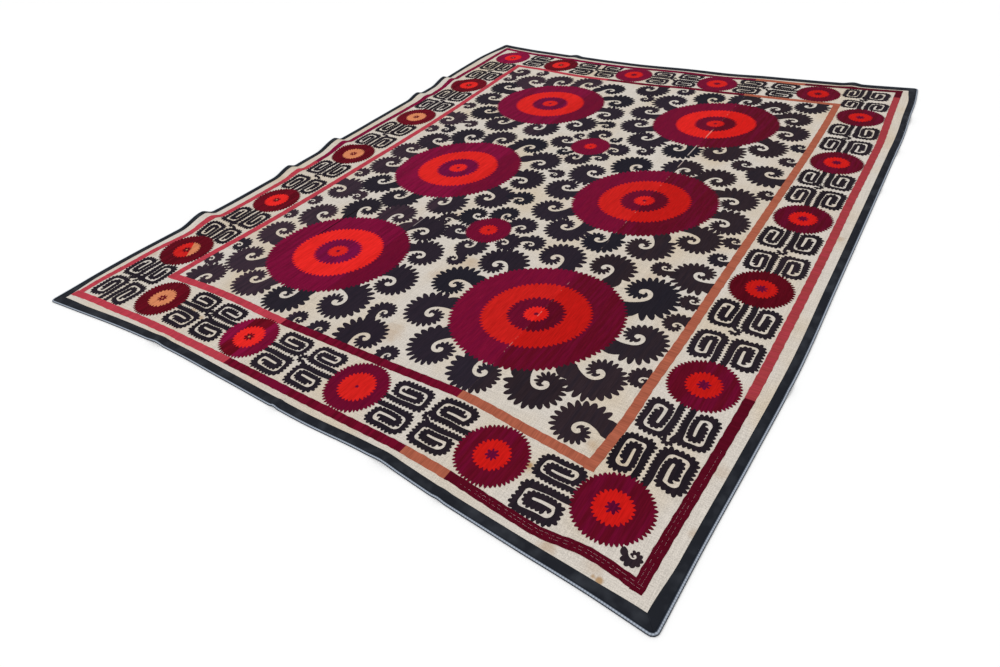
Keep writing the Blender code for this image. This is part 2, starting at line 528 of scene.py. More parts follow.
STAINS = table(
    Stain,
    (919, -1311, 11, 0.90), (905, -1309, 7, 0.80), (800, -1300, 28, 0.45), (900, -1290, 30, 0.25),
    (664, -1148, 11, 0.90), (668, -1150, 24, 0.40), (-555, -1158, 20, 0.50),
    (-500, -1170, 14, 0.50), (757, -1030, 20, 0.40), (1035, -1130, 20, 0.35),
    (1030, -960, 30, 0.25), (75, -950, 60, 0.35), (85, -560, 50, 0.35), (20, -660, 40, 0.25),
    (1030, 50, 22, 0.45), (-985, -1020, 30, 0.35), (-1010, -420, 40, 0.25), (-1030, 370, 45, 0.30),
    (-30, 210, 50, 0.25), (-130, -330, 45, 0.25), (620, -380, 40, 0.20),
)


@dataclass(frozen=True)
class HandloomCotton:
    """Undyed hand-woven cotton, plain weave: matt and slubby, with yellowed patches and water
    marks, a faint check of thick and thin threads, and no gloss at all."""

    name: str = "handloom_cotton"
    colour: str = "#D2CAC0"
    aged: str = "#CDBDA6"
    stained: str = "#A9855A"
    thread: float = 0.0022

    def material(self) -> bpy.types.Material:
        """The cotton's nodes. The real threads are 0.8 mm apart, drawn here at 2.2 mm to show."""
        g = Graph(self.name)
        cloud = g.span(g.grain((0.22, 0.30, 0.3), 3), 0.42, 0.72)
        colour = g.blend(cloud, self.colour, self.aged)
        warp = g.grain((self.thread, 0.10, 0.1), 1)
        weft = g.grain((0.10, self.thread, 0.1), 1)
        speck = g.grain((0.0030, 0.0030, 0.003), 2)
        threads = g.sum("ADD", g.sum("ADD", warp, weft), g.sum("MULTIPLY", speck, 2))
        slub = g.span(threads, 1.5, 2.5)
        colour = g.shade(colour, g.span(slub, 0, 1, 0.74, 1.12))
        ragged = g.grain((0.020, 0.020, 0.02), 3)
        for stain in STAINS:
            out_x = g.sum("POWER", g.sum("SUBTRACT", g.x, stain.x), 2)
            out_y = g.sum("POWER", g.sum("SUBTRACT", g.y, stain.y), 2)
            far = g.sum("SQRT", g.sum("ADD", out_x, out_y))
            far = g.sum("ADD", far, g.sum("MULTIPLY", ragged, stain.size * 0.9))
            mark = g.span(far, stain.size * 0.75, stain.size * 1.35, stain.depth, 0)
            colour = g.blend(mark, colour, self.stained)
        by_right_edge = g.span(g.x, 0.90, 1.02)
        creases = g.sum("MULTIPLY", g.grain((0.060, 0.007, 0.02), 2), by_right_edge)
        relief = g.bump(g.grain((0.05, 0.07, 0.05), 3), 0.006, 0.35)
        relief = g.bump(creases, 0.004, 0.6, relief)
        return g.dress(colour, 0.93, 0.05, g.bump(slub, 0.0008, 0.5, relief))


class Gap(NamedTuple):
    """A place where the stitches of two panels do not meet: its x, where it starts and ends along
    Y, half its width, the colour that shows in it, and how far it leans along X for each Y. In
    the deep slit at x = -515 mm that colour is a near-black painted shadow."""

    x: Length
    start: Length
    end: Length
    half: Length
    colour: str
    lean: float = 0.0


GAPS_AND_SLIT_SHADOW = table(
    Gap,
    (414, 585, 665, 2.2, "#D08A7E"), (409, 405, 510, 2.2, "#B8AAA0"),
    (412.5, 300, 362, 2, "#A8968F"), (-241.5, -470, -400, 1.8, "#8F8482"),
    # The last row is the deep slit through a great rosette: its near-black colour is painted
    # shadow.
    (-515, -665, -455, 2.7, "#12050A", 0.034),
)


@dataclass(frozen=True)
class LaidSilk:
    """Silk thread laid side by side and couched down: a low satin gloss that runs with the
    threads, lots of slightly different dye in long streaks, and small tie-down stitches."""

    FIRST_SEAM: ClassVar[float] = -0.243
    BLUR: ClassVar[float] = 0.0015
    BARE: ClassVar[str] = "#BFA79A"

    name: str
    left_lot: str
    right_lot: str
    streak: str
    streak_share: float
    odd: str = ""
    missed: float = 0.0
    first_lot: str = ""
    lot_seam: float = 0.412
    thread: float = 0.0030
    roughness: float = 0.75

    def material(self) -> bpy.types.Material:
        """The silk's nodes. The real threads are 1 mm apart, drawn here at 3 mm to show."""
        g = Graph(self.name)
        turned = g.add("ShaderNodeAttribute", {"attribute_name": "turned"}).outputs["Fac"]
        tone = g.add("ShaderNodeAttribute", {"attribute_name": "tone"}).outputs["Fac"]
        swapped = g.add("ShaderNodeCombineXYZ", inputs={0: g.y, 1: g.x}).outputs[0]
        inputs = {0: turned, 4: g.place, 5: swapped}
        run = g.add("ShaderNodeMix", {"data_type": "VECTOR"}, inputs).outputs[1]
        past = g.sum("SUBTRACT", g.x, g.sum("MULTIPLY_ADD", g.y, LAST_SEAM_LEAN, self.lot_seam))
        colour = g.blend(g.span(past, -self.BLUR, self.BLUR), self.left_lot, self.right_lot)
        if self.first_lot:
            first = g.span(g.x, self.FIRST_SEAM - self.BLUR, self.FIRST_SEAM + self.BLUR, 1, 0)
            colour = g.blend(first, colour, self.first_lot)
        streaks = g.grain((0.014, 0.30, 0.1), 3, run)
        colour = g.blend(g.span(streaks, 0.45, 0.60, 0, self.streak_share), colour, self.streak)
        if self.odd:
            colour = g.blend(g.span(tone, 0.66, 0.86, 0, 0.8), colour, self.odd)
        threads = g.grain((self.thread, 0.045, 0.05), 2, run)
        pale, light = g.span(tone, 0, 1, 0.84, 1.12), g.span(threads, 0.35, 0.65, 0.84, 1.12)
        colour = g.shade(colour, g.sum("MULTIPLY", pale, light))
        if self.missed:
            torn = g.span(g.grain((0.006, 0.012, 0.01), 2), 0.56, 0.64)
            near = g.span(g.sum("ABSOLUTE", past), 0.0008, 0.0018, 1, 0)
            bare = g.sum("MULTIPLY", g.sum("MULTIPLY", torn, near), self.missed)
            colour = g.blend(bare, colour, self.BARE)
            # Each gap's colour is blended over the silk; for the deep slit at x = -515 mm it is a
            # painted shadow.
            for gap in GAPS_AND_SLIT_SHADOW:
                half = (gap.end - gap.start) / 2
                along = g.sum("SUBTRACT", g.y, gap.start + half)
                middle = g.sum("MULTIPLY_ADD", along, gap.lean, gap.x)
                off = g.sum("ABSOLUTE", g.sum("SUBTRACT", g.x, middle))
                beside = g.span(off, gap.half * 0.7, gap.half * 1.1, 0.95, 0)
                between_ends = g.span(g.sum("ABSOLUTE", along), half - 0.010, half, 1, 0)
                colour = g.blend(g.sum("MULTIPLY", beside, between_ends), colour, gap.colour)
        relief = g.bump(threads, 0.0010, 0.6)
        relief = g.bump(g.grain((0.004, 0.004, 0.004), 1), 0.0006, 0.35, relief)
        return g.dress(colour, self.roughness, 0.02, relief)


@dataclass(frozen=True)
class BindingCloth:
    """Blue-black cotton twill cut in strips: matt, a little rubbed along its edges."""

    name: str = "binding_twill"
    colour: str = "#1E2026"
    rubbed: str = "#33363C"

    def material(self) -> bpy.types.Material:
        """The band's nodes: twill lines 2 mm apart in its own run, and rubbed paler patches."""
        g = Graph(self.name)
        worn = g.span(g.grain((0.05, 0.05, 0.05), 3), 0.45, 0.75)
        rib = g.grain((0.05, 0.002, 1), 1, g.flat)
        colour = g.blend(worn, self.colour, self.rubbed)
        return g.dress(colour, 0.85, 0.06, g.bump(rib, 0.0005, 0.5))


@dataclass(frozen=True)
class RolledEdging:
    """A narrow woven edging rolled over the raw edge: blue-grey and cream threads whipped round
    it, pale only along its crest and dark on both flanks."""

    name: str = "whipped_edging"
    colour: str = "#232832"
    pale: str = "#A9B2BF"
    pitch: float = 0.006
    crest: float = 0.0030

    def material(self) -> bpy.types.Material:
        """The edging's nodes: slanted whip stitches 6 mm apart along its own run."""
        g = Graph(self.name)
        parts = g.add("ShaderNodeSeparateXYZ", inputs={0: g.flat})
        slant = g.sum("MULTIPLY_ADD", parts.outputs[1], 0.8, parts.outputs[0])
        wave = g.sum("SINE", g.sum("MULTIPLY", slant, 2 * math.pi / self.pitch))
        uneven = g.grain((0.012, 0.012, 0.012), 2)
        wave = g.sum("MULTIPLY_ADD", g.sum("SUBTRACT", uneven, 0.5), 1.6, wave)
        off = g.sum("ABSOLUTE", g.sum("SUBTRACT", parts.outputs[1], self.crest))
        # Pale whip stitches only along the crest; both flanks keep the dark colour.
        on_crest = g.span(off, 0.0008, 0.0026, 1, 0)
        share = g.sum("MULTIPLY", g.span(wave, -1.6, 0.4, 0.5, 1), on_crest)
        colour = g.blend(share, self.colour, self.pale)
        return g.dress(colour, 0.8, 0.06, g.bump(wave, 0.0008, 0.6))


class Dye(Enum):
    """The silks of the needlework."""

    LEAF = LaidSilk(
        "walnut_black_silk", "#2A222C", "#2E2328", "#201D27", 0.4, "#1A1A22", 0.2, "#3A2B35"
    )
    SCROLL = LaidSilk("iron_black_silk", "#231C25", "#251D24", "#1A181E", 0.5)
    MAGENTA = LaidSilk("magenta_silk", "#6E0A2C", "#58081C", "#66082C", 0.7, "", 0.4, "#7E0C38")
    OXBLOOD = LaidSilk("oxblood_silk", "#64081A", "#560616", "#480410", 0.6)
    PLUM = LaidSilk("plum_silk", "#660A28", "#56081C", "#5A0826", 0.5, "", 0.4, "#6E0A3C")
    VIOLET = LaidSilk("violet_silk", "#620830", "#620830", "#50062A", 0.5)
    RED = LaidSilk("red_silk", "#D0201C", "#C41814", "#C01A16", 0.4, "", 0.4, "#DA2420")
    PEACH = LaidSilk("peach_silk", "#CC8058", "#CC8058", "#C07450", 0.5)
    SALMON = LaidSilk("salmon_silk", "#A85E48", "#A65C46", "#98523E", 0.6)
    ROSE = LaidSilk("rose_silk", "#B63C4A", "#9C3A3E", "#A43844", 0.6)
    MAROON = LaidSilk("maroon_silk", "#6C0A26", "#54081C", "#500618", 0.7)
    THREAD = LaidSilk("pale_couching_thread", "#CDB6B8", "#CDB6B8", "#B0949C", 0.5)


def outward(loop: np.ndarray) -> np.ndarray:
    """Unit normals of a closed loop at its points: the mean of the normals of the two sides that
    meet there, turned a quarter to the right of the way the loop runs.

    Args:
        loop: points of the loop, going round to the left.

    Returns:
        One unit normal for each point.
    """
    side = unit(to_right(np.roll(loop, -1, 0) - loop))
    return unit(side + np.roll(side, 1, 0))


def within(loop: np.ndarray, spots: np.ndarray) -> np.ndarray:
    """Finds spots inside a loop: a line to the right crosses it an odd number of times.

    Args:
        loop: points of the loop.
        spots: the spots.

    Returns:
        Whether each spot lies inside.
    """
    a, b = loop, np.roll(loop, -1, 0)
    x, y = spots[:, None, 0], spots[:, None, 1]
    crosses = (a[None, :, 1] > y) != (b[None, :, 1] > y)
    run = np.where(np.abs(b[:, 1] - a[:, 1]) < 1e-12, 1e-12, b[:, 1] - a[:, 1])
    at = a[None, :, 0] + (y - a[None, :, 1]) / run * (b[:, 0] - a[:, 0])
    return (np.sum(crosses & (x < at), axis=1) % 2) == 1


class Needlework:
    """Raised, closed pads of stitching that lie on the cotton, gathered into one piece."""

    SUNK = 0.0003
    ROLL = ((0.0, 0.0), (0.00025, 0.55), (0.0008, 1.0))
    FOLDED_UP_TO = -0.80
    FINE = 0.009
    COARSE = 0.020
    CLEAR = 0.35

    def __init__(self, name: str) -> None:
        """Starts an empty piece."""
        self.name = name
        self.points: list[np.ndarray] = []
        self.faces: list[list[int]] = []
        self.tones: list[np.ndarray] = []
        self.turns: list[np.ndarray] = []
        self.count = 0
        self.chance = np.random.default_rng(SEED + len(name))

    def add(
        self, loop: np.ndarray, lift: float, tone: float | None = None, turned: bool = False
    ) -> None:
        """Adds one pad: its loop sunk in the cotton, its edge rolled in over two steps, its top at
        the lift over the cotton, and an even scatter of points inside, so that it drapes.

        Args:
            loop: the pad's outline in X and Y.
            lift: the height of its top over the cotton.
            tone: its dye's depth from 0 to 1, or by chance.
            turned: whether its threads run along X.
        """
        x, y = loop.T
        area = np.sum(x * np.roll(y, -1) - np.roll(x, -1) * y)
        loop = loop if area > 0 else loop[::-1]
        normal = outward(loop)
        count = len(loop)
        rings = [loop - normal * inset for inset, _ in self.ROLL]
        step = self.FINE if loop[:, 0].mean() < self.FOLDED_UP_TO else self.COARSE
        low, high = loop.min(0), loop.max(0)
        grid = np.meshgrid(np.arange(low[0], high[0], step), np.arange(low[1], high[1], step))
        spots = np.stack([axis.ravel() for axis in grid], 1)
        spots = spots[within(loop, spots)]
        if len(spots):
            far = np.linalg.norm(spots[:, None] - rings[-1][None], axis=2).min(1)
            spots = spots[far > step * self.CLEAR]
        flat = np.concatenate([rings[-1], spots])
        sides = [(at, (at + 1) % count) for at in range(count)]
        result = delaunay_2d_cdt([Vector(p) for p in flat], sides, [], 1, 1e-7)
        origin = [found[0] if found else -1 for found in result[3]]
        top = [[origin[corner] for corner in face] for face in result[2]]
        top = [face for face in top if min(face) >= 0]
        plan = np.concatenate([rings[0], rings[1], flat, spots])
        heights = (-self.SUNK, self.ROLL[1][1] * lift, lift, -self.SUNK)
        rises = np.repeat(heights, (count, count, len(flat), len(spots)))
        start = self.count
        for ring in (0, 1):
            base = start + ring * count
            for a, b in sides:
                self.faces.append([base + a, base + b, base + count + b, base + count + a])
        cap = start + 2 * count
        under = cap + len(flat) - count
        for face in top:
            self.faces.append([cap + corner for corner in face])
            self.faces.append([start + c if c < count else under + c for c in reversed(face)])
        self.points.append(np.column_stack([plan, Ground.top(*plan.T) + rises]))
        shade = self.chance.random() if tone is None else tone
        self.tones.append(np.full(len(plan), shade))
        self.turns.append(np.full(len(plan), float(turned)))
        self.count += len(plan)

    def make(self, dye: Dye, slot: str = "cotton_mid_right") -> bpy.types.Object:
        """Joins the pads into a piece and dresses it.

        Args:
            dye: the silk it is worked in.
            slot: not used.

        Returns:
            The new object.
        """
        piece = make_piece(self.name, np.concatenate(self.points), self.faces, silk_of(dye))
        for name, values in (("tone", self.tones), ("turned", self.turns)):
            layer = piece.data.attributes.new(name, "FLOAT", "POINT")
            layer.data.foreach_set("value", np.concatenate(values).astype(np.float32))
        return piece


def silk_of(dye: Dye) -> bpy.types.Material:
    """The silk's material, made once."""
    return bpy.data.materials.get(dye.value.name) or dye.value.material()


class Cotton:
    """The ground: four lengths of loom-width cotton, sewn edge to edge."""

    NAMES = ("cotton_left", "cotton_mid_left", "cotton_mid_right", "cotton_right")
    FINE = 0.0085
    COARSE = 0.0140
    ROW = 0.0090
    FINE_UP_TO = SEAMS[0] + 0.060

    def across(self, left: float, right: float) -> np.ndarray:
        """Grid places across a panel, closer together over the left edge's folds.

        Args:
            left: the panel's left edge.
            right: its right edge.

        Returns:
            The places, both edges among them.
        """
        places = [left]
        while places[-1] < right - self.COARSE:
            places.append(places[-1] + (self.FINE if places[-1] < self.FINE_UP_TO else self.COARSE))
        return np.array([*places, right])

    def build(self) -> list[bpy.types.Object]:
        """Builds each panel as a closed sheet over the same laid ground as the needlework.

        Returns:
            The four panels.
        """
        finish = HandloomCotton().material()
        end = HALF_LENGTH - BORDER - SEWN_GAP
        rows = np.linspace(-end, end, round(2 * end / self.ROW))
        lefts = [BORDER + SEWN_GAP - HALF_WIDTH, *(seam + SEWN_GAP / 2 for seam in SEAMS)]
        rights = [*(seam - SEWN_GAP / 2 for seam in SEAMS), HALF_WIDTH - BORDER - SEWN_GAP]
        made = []
        for name, left, right in zip(self.NAMES, lefts, rights):
            u, v = np.meshgrid(self.across(left, right), rows)
            inset = HALF_WIDTH - BORDER
            u = u + shown_less("right", v, HALF_LENGTH) * rise(u, inset - 0.10, inset)
            u = u - shown_less("left", v, HALF_LENGTH) * (1 - rise(u, -inset, 0.10 - inset))
            end_v = HALF_LENGTH - BORDER
            v = v - shown_less("near", u, HALF_WIDTH) * (1 - rise(v, -end_v, 0.10 - end_v))
            x, y = Ground.lay(u, v)
            points = both_faces(x, y, Ground.under(x, y), COTTON_THICK)
            piece = make_piece(f"{name}_cloth", points, shell_faces(*u.shape), finish)
            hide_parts(name)
            made.append(piece)
        return made


class Border:
    """The dark band and the rolled edging round the cloth, four mitred strips of each."""

    STEP = 0.0085
    CRISP = 50
    CORNER_STEPS = 6
    ROUND = 0.98

    @staticmethod
    def boundary(half: float, depth: float, along: np.ndarray) -> tuple[np.ndarray, np.ndarray]:
        """A line of constant depth inside the cloth's edge, from mitre to mitre: straight, then a
        quarter of the corner's arc to its middle at each end.

        Args:
            half: half the cloth's size along this side.
            depth: how far the line is from the edge.
            along: places from -2 to 2; past 1 either way is a share of the corner's path.

        Returns:
            The distance along the side, and the depth, at each place.
        """
        straight = half - MITRE_REACH
        radius = max(CORNER_RADIUS - depth, 0)
        run = MITRE_REACH - max(CORNER_RADIUS, depth)
        path = run + radius * math.pi / 4
        share = np.maximum(np.abs(along) - 1, 0)
        turn = np.clip((share * path - run) / max(radius, 1e-9), 0, math.pi / 4)
        s = np.minimum(np.abs(along), 1) * straight
        s = s + np.minimum(share * path, run) + radius * np.sin(turn)
        s = s - share * SEWN_GAP / math.sqrt(2)
        return np.sign(along) * s, depth + radius * (1 - np.cos(turn))

    def strip(
        self,
        name: str,
        edge: Edge,
        depths: np.ndarray,
        thick: np.ndarray,
        finish: bpy.types.Material,
    ) -> None:
        """Builds one side's strip as a closed sheet, and dresses it.

        Args:
            name: band or edging.
            edge: the side of the cloth.
            depths: how far each column lies from the cloth's edge, from the outside in.
            thick: the strip's thickness at each column.
            finish: its material.
        """
        half = HALF_WIDTH if edge in (Edge.NEAR, Edge.FAR) else HALF_LENGTH
        straight = half - MITRE_REACH
        places = np.linspace(-1, 1, round(2 * straight / self.STEP))
        corner = 1 + np.linspace(0, 1, self.CORNER_STEPS + 1)[1:]
        along = np.concatenate([-corner[::-1], places, corner])
        s, d = np.stack([self.boundary(half, depth, along) for depth in depths], axis=2)
        if name == "band":
            less = shown_less(edge.value, s, half)
            d = d - less * (depths - depths[0]) / (depths[-1] - depths[0])
        sides = {
            Edge.NEAR: (s, d - HALF_LENGTH),
            Edge.FAR: (-s, HALF_LENGTH - d),
            Edge.LEFT: (d - HALF_WIDTH, -s),
            Edge.RIGHT: (HALF_WIDTH - d, s),
        }
        u, v = sides[edge]
        x, y = Ground.lay(u, v)
        backwards = (grid[:, ::-1] for grid in (x, y, Ground.under(x, y)))
        points = both_faces(*backwards, thick[::-1])
        run = np.hypot(np.gradient(x, axis=0), np.gradient(y, axis=0)).cumsum(0)[:, ::-1].ravel()
        off = np.broadcast_to(depths, x.shape)[:, ::-1].ravel()
        faces = shell_faces(*x.shape)[:, ::-1]
        piece = make_piece(f"{name}_{edge.value}_cloth", points, faces, finish, self.CRISP)
        paint_uv(piece, np.tile(run, 2), np.tile(off, 2))
        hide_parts(f"{name}_{edge.value}")

    def build(self) -> None:
        """Builds the four strips of the band and of the edging. The edging's section is a low half
        round: thick * (0.35 + 0.65 * sqrt(1 - t^2)) from side to side."""
        twill = BindingCloth().material()
        whipped = RolledEdging().material()
        t = np.sin(np.linspace(-math.pi / 2, math.pi / 2, 8)) * self.ROUND
        rolled = EDGING_THICK * (0.35 + 0.65 * np.sqrt(1 - t**2))
        outer = (t / self.ROUND + 1) / 2 * EDGING_WIDTH
        inner = np.linspace(EDGING_WIDTH + SEWN_GAP, BORDER, 5)
        soft = BAND_THICK * np.array([0.8, 1.0, 1.0, 1.0, 0.8])
        for edge in Edge:
            self.strip("band", edge, inner, soft, twill)
            self.strip("edging", edge, outer, rolled, whipped)


class Curl(NamedTuple):
    """How far a leaf's edge is from its eye, in leaf sizes, at a turn in degrees from its mouth."""

    turn: float
    reach: float


class Leaf(NamedTuple):
    """A toothed leaf: its eye, the heading of its mouth in degrees, its size in millimetres, and
    which way it winds from its mouth, 1 to the left and -1 to the right."""

    x: Length
    y: Length
    mouth: float
    size: float
    hand: int = -1


class LeafForm:
    """The one shape that all the leaves share: a comma that winds round its eye, toothed along its
    back, with a spiral slit of bare cotton between its body and its head."""

    BACK = table(
        Curl,
        (45, 0.98), (90, 0.99), (120, 0.94), (150, 0.86), (180, 0.77), (210, 0.65), (240, 0.55),
        (270, 0.49), (300, 0.44), (330, 0.37), (360, 0.29), (390, 0.23), (420, 0.20), (450, 0.17),
        (480, 0.13), (510, 0.10), (530, 0.085),
    )
    THROAT = table(
        Curl,
        (0, 0.60), (15, 0.49), (30, 0.41), (60, 0.335), (90, 0.295), (120, 0.26), (150, 0.235),
        (180, 0.21), (210, 0.185), (240, 0.165), (270, 0.145), (300, 0.115), (330, 0.088),
    )
    EYE = 0.045
    ROOT = table(
        Curl,
        (0, 0.60), (-4, 0.74), (-5, 0.90), (-3, 1.05), (4, 1.12), (14, 1.12), (24, 1.09),
        (32, 1.04), (39, 0.96),
    )
    FIRST_TOOTH = 46
    LAST_TOOTH = 408
    PER_TOOTH = 9
    CROWD = 0.45
    LARGE = 55
    HAIR = 0.00002

    @staticmethod
    def polar(turn: np.ndarray, reach: np.ndarray) -> np.ndarray:
        """Points at a turn in degrees and a reach."""
        angle = np.radians(turn)
        return np.stack([reach * np.cos(angle), reach * np.sin(angle)], 1)

    def toothed(self, size: float, chance: np.random.Generator) -> np.ndarray:
        """The leaf's back: its mean line moved along its normal by depth * (1 - |2p - 1|^2 -
        0.54), where p runs from 0 to 1 over each tooth. The teeth crowd and shrink to the head.

        Args:
            size: the leaf's size in millimetres.
            chance: the hand's unevenness.

        Returns:
            The back's points, in leaf sizes.
        """
        turn = np.linspace(self.FIRST_TOOTH, self.LAST_TOOTH, 720)
        line = self.polar(turn, through(self.BACK, turn))
        gone = gone_along(line)
        pitch = (9 + 0.10 * size) / size
        teeth = max(7, round(gone[-1] / pitch))
        phase = np.arange(teeth * self.PER_TOOTH + 1) / self.PER_TOOTH
        share = (1 - (1 - self.CROWD) ** (phase / teeth)) / self.CROWD
        place = share * gone[-1]
        base = read_off(line, gone, place)
        normal = to_right(read_off(unit(np.gradient(line, axis=0)), gone, place))
        which = np.minimum(phase.astype(int), teeth - 1)
        deep = (0.235 if size > self.LARGE else 0.25) * (1 - 0.45 * share)
        deep = deep * (1 + 0.16 * chance.standard_normal(teeth)[which])
        finger = 1 - np.abs(2 * (phase - which) - 1) ** 2.0
        return base + normal * (deep * (finger - 0.54))[:, None]

    def outline(self, leaf: Leaf, chance: np.random.Generator) -> np.ndarray:
        """The whole leaf: root, toothed back, the head's side of the slit, its end, and back along
        the body's side of the slit.

        Args:
            leaf: its place, heading, size and hand.
            chance: the hand's unevenness.

        Returns:
            The loop's points on the cloth.
        """
        fine = 2.2 if leaf.size > self.LARGE else 1.3
        inner = np.linspace(self.LAST_TOOTH + 6, 530, int(8 * fine))
        eye = np.linspace(520, 345, int(6 * fine))
        outer = np.linspace(330, 5, int(15 * fine))
        root = np.array(self.ROOT)
        parts = [
            self.polar(root[:, 0], root[:, 1]),
            self.toothed(leaf.size, chance),
            self.polar(inner, through(self.BACK, inner)),
            self.polar(eye, np.full(len(eye), self.EYE)),
            self.polar(np.array([336.0]), np.array([0.068])),
            self.polar(outer, through(self.THROAT, outer)),
        ]
        loop = np.concatenate(parts) * leaf.size / 1000
        loop[:, 1] *= leaf.hand
        heading = math.radians(leaf.mouth)
        cos, sin = math.cos(heading), math.sin(heading)
        return loop @ np.array([[cos, sin], [-sin, cos]]) + (leaf.x, leaf.y)


class Leaves:
    """All the leaves of the field, in groups round their rosettes."""

    LIFT = 0.00080
    GROUPS = {
        "leaves_near_right": table(
            Leaf,
            (690, -649, 215, 95, 1), (660, -816, 180, 98, 1), (559, -915, 146, 95, 1),
            (399, -952, 118, 92, 1), (242, -933, 76, 95, 1), (127, -824, 45, 96, 1),
            (102, -678, 20, 92, 1), (161, -533, -28, 98, 1), (305, -420, -56, 94, 1),
            (470, -400, -70, 91, 1), (622, -463, 240, 114, 1),
        ),
        "leaves_near_left": table(
            Leaf,
            (-93, -766, 168, 97), (-175, -911, 127, 107), (-354, -960, 61, 93),
            (-512, -947, 40, 92), (-636, -860, 14, 95), (-664, -696, -36, 88),
            (-609, -542, -54, 92), (-481, -448, -88, 92), (-332, -437, -115, 88),
            (-184, -484, 200, 102), (-101, -604, 183, 89),
        ),
        "leaves_mid_right": table(
            Leaf,
            (643, -148, 135, 95), (520, -234, 83, 93), (377, -262, 65, 81), (242, -238, 45, 93),
            (141, -147, 23, 91), (112, 4, -8, 90), (146, 143, -30, 96), (279, 249, -80, 98),
            (450, 290, 238, 90), (579, 260, 218, 87), (675, 132, 172, 96), (695, -16, 160, 91),
        ),
        "leaves_mid_left": table(
            Leaf,
            (-116, -188, 130, 95), (-253, -284, 88, 94), (-439, -314, 48, 93), (-582, -246, 18, 93),
            (-656, -110, -8, 93), (-70, -29, 163, 95), (-82, 128, 188, 95), (-193, 237, 220, 92),
            (-346, 255, 248, 90), (-490, 233, -82, 95), (-608, 149, -47, 95), (-665, 30, -25, 88),
        ),
        "leaves_far_right": table(
            Leaf,
            (637, 567, 120, 95), (497, 488, 86, 100), (351, 451, 72, 91), (198, 500, 35, 97),
            (118, 611, 0, 88), (102, 754, -20, 89), (164, 888, -62, 97), (308, 973, -92, 85),
            (451, 995, 232, 83), (581, 955, 208, 82), (674, 861, 182, 85), (691, 723, 158, 88),
        ),
        "leaves_far_left": table(
            Leaf,
            (-128, 506, 128, 90), (-59, 648, 160, 85), (-77, 789, 172, 88), (-166, 914, 207, 82),
            (-302, 955, 230, 85), (-447, 935, 252, 89), (-580, 901, -62, 102), (-666, 795, -33, 92),
            (-662, 647, -25, 89), (-586, 504, 8, 97), (-456, 421, 35, 98), (-273, 420, 78, 95),
        ),
        "leaves_small": table(
            Leaf,
            (29, 455, -70, 65), (135, 340, 148, 62), (20, 228, 65, 64), (-93, 354, -15, 68),
            (-55, 415, -60, 31), (90, 435, 60, 31), (-50, 265, 20, 38), (108, 261, 165, 42),
            (25, -265, -97, 65), (114, -314, 205, 65), (109, -417, 145, 60), (8, -478, 75, 68),
            (-76, -415, -20, 58), (-75, -305, -33, 70), (953, -1233, 160, 26, 1),
        ),
        "leaves_on_stripes": table(
            Leaf,
            (-693, -377, 152, 95), (-705, 347, 148, 90), (-719, -236, 160, 45),
            (-728, -490, 175, 42), (-734, -607, 180, 40), (-589, -385, 150, 41),
            (-736, -837, 150, 46), (-756, -943, 140, 43), (-672, -1022, -115, 85),
            (-581, 335, 170, 44), (-648, 252, 135, 45), (-722, 226, 165, 45), (-716, 510, 165, 44),
            (-728, 1001, 190, 69, 1), (-734, 893, 90, 43), (-612, 1014, 90, 41),
            (-215, -1030, -100, 41), (-122, -1035, -110, 43), (24, -1002, -110, 95),
            (135, -1025, -125, 41), (-1, -887, -105, 53), (708, -1004, 8, 87, 1),
            (12, -565, 110, 42), (3, -152, 180, 58), (194, -388, 170, 53), (-159, -374, 20, 42, 1),
            (18, 69, 155, 42), (238, 379, 110, 47), (-6, 546, 170, 45), (24, 876, 100, 41),
            (762, -98, -10, 41), (757, -203, -15, 43), (736, -310, -22, 91), (628, -318, -15, 46),
            (760, -437, -12, 42), (759, -557, -10, 51, 1), (769, -791, 30, 45, 1),
            (731, 382, -18, 96), (626, 418, -25, 53), (765, 235, 0, 43), (765, 631, -10, 43),
            (760, 505, -5, 45), (689, 1031, 60, 82), (152, 1017, 70, 50), (-6, 991, 65, 92),
        ),
    }

    def build(self) -> None:
        """Builds each group of leaves as one piece. Each leaf's top is a hair off its neighbours',
        so that where two cross one lies over the other."""
        form = LeafForm()
        for name, leaves in self.GROUPS.items():
            chance = np.random.default_rng(SEED)
            work = Needlework(name)
            for number, leaf in enumerate(leaves):
                loop = form.outline(leaf, chance)
                if name == "leaves_on_stripes":
                    loop = Stripes.inside(loop)
                work.add(loop, self.LIFT + form.HAIR * (number % 5))
            work.make(Dye.LEAF)


class Great(NamedTuple):
    """A great rosette of the field: its middle, its half width and half depth, and how much it is
    pulled long on one diagonal."""

    x: Length
    y: Length
    wide: Length
    deep: Length
    pull: float


class Silks(NamedTuple):
    """The silks of a small rosette."""

    rim: Dye
    ring: Dye
    heart: Dye


BRIGHT = Silks(Dye.MAGENTA, Dye.RED, Dye.PLUM)
STARRED = Silks(Dye.MAGENTA, Dye.RED, Dye.VIOLET)
DARK = Silks(Dye.OXBLOOD, Dye.RED, Dye.OXBLOOD)
PALE = Silks(Dye.OXBLOOD, Dye.PEACH, Dye.OXBLOOD)
MIXED = Silks(Dye.MAGENTA, Dye.RED, Dye.OXBLOOD)
DARK_STARRED = Silks(Dye.OXBLOOD, Dye.RED, Dye.VIOLET)


class Small(NamedTuple):
    """A small rosette: its middle, its radius, its ring's radius, and its silks."""

    x: Length
    y: Length
    reach: Length
    ring: Length
    silks: Silks


class Ring(NamedTuple):
    """One ring of a great rosette: its share of the radius, its teeth, their depth in metres, its
    height over the cotton and its silk."""

    share: float
    teeth: int
    depth: float
    lift: float
    dye: Dye


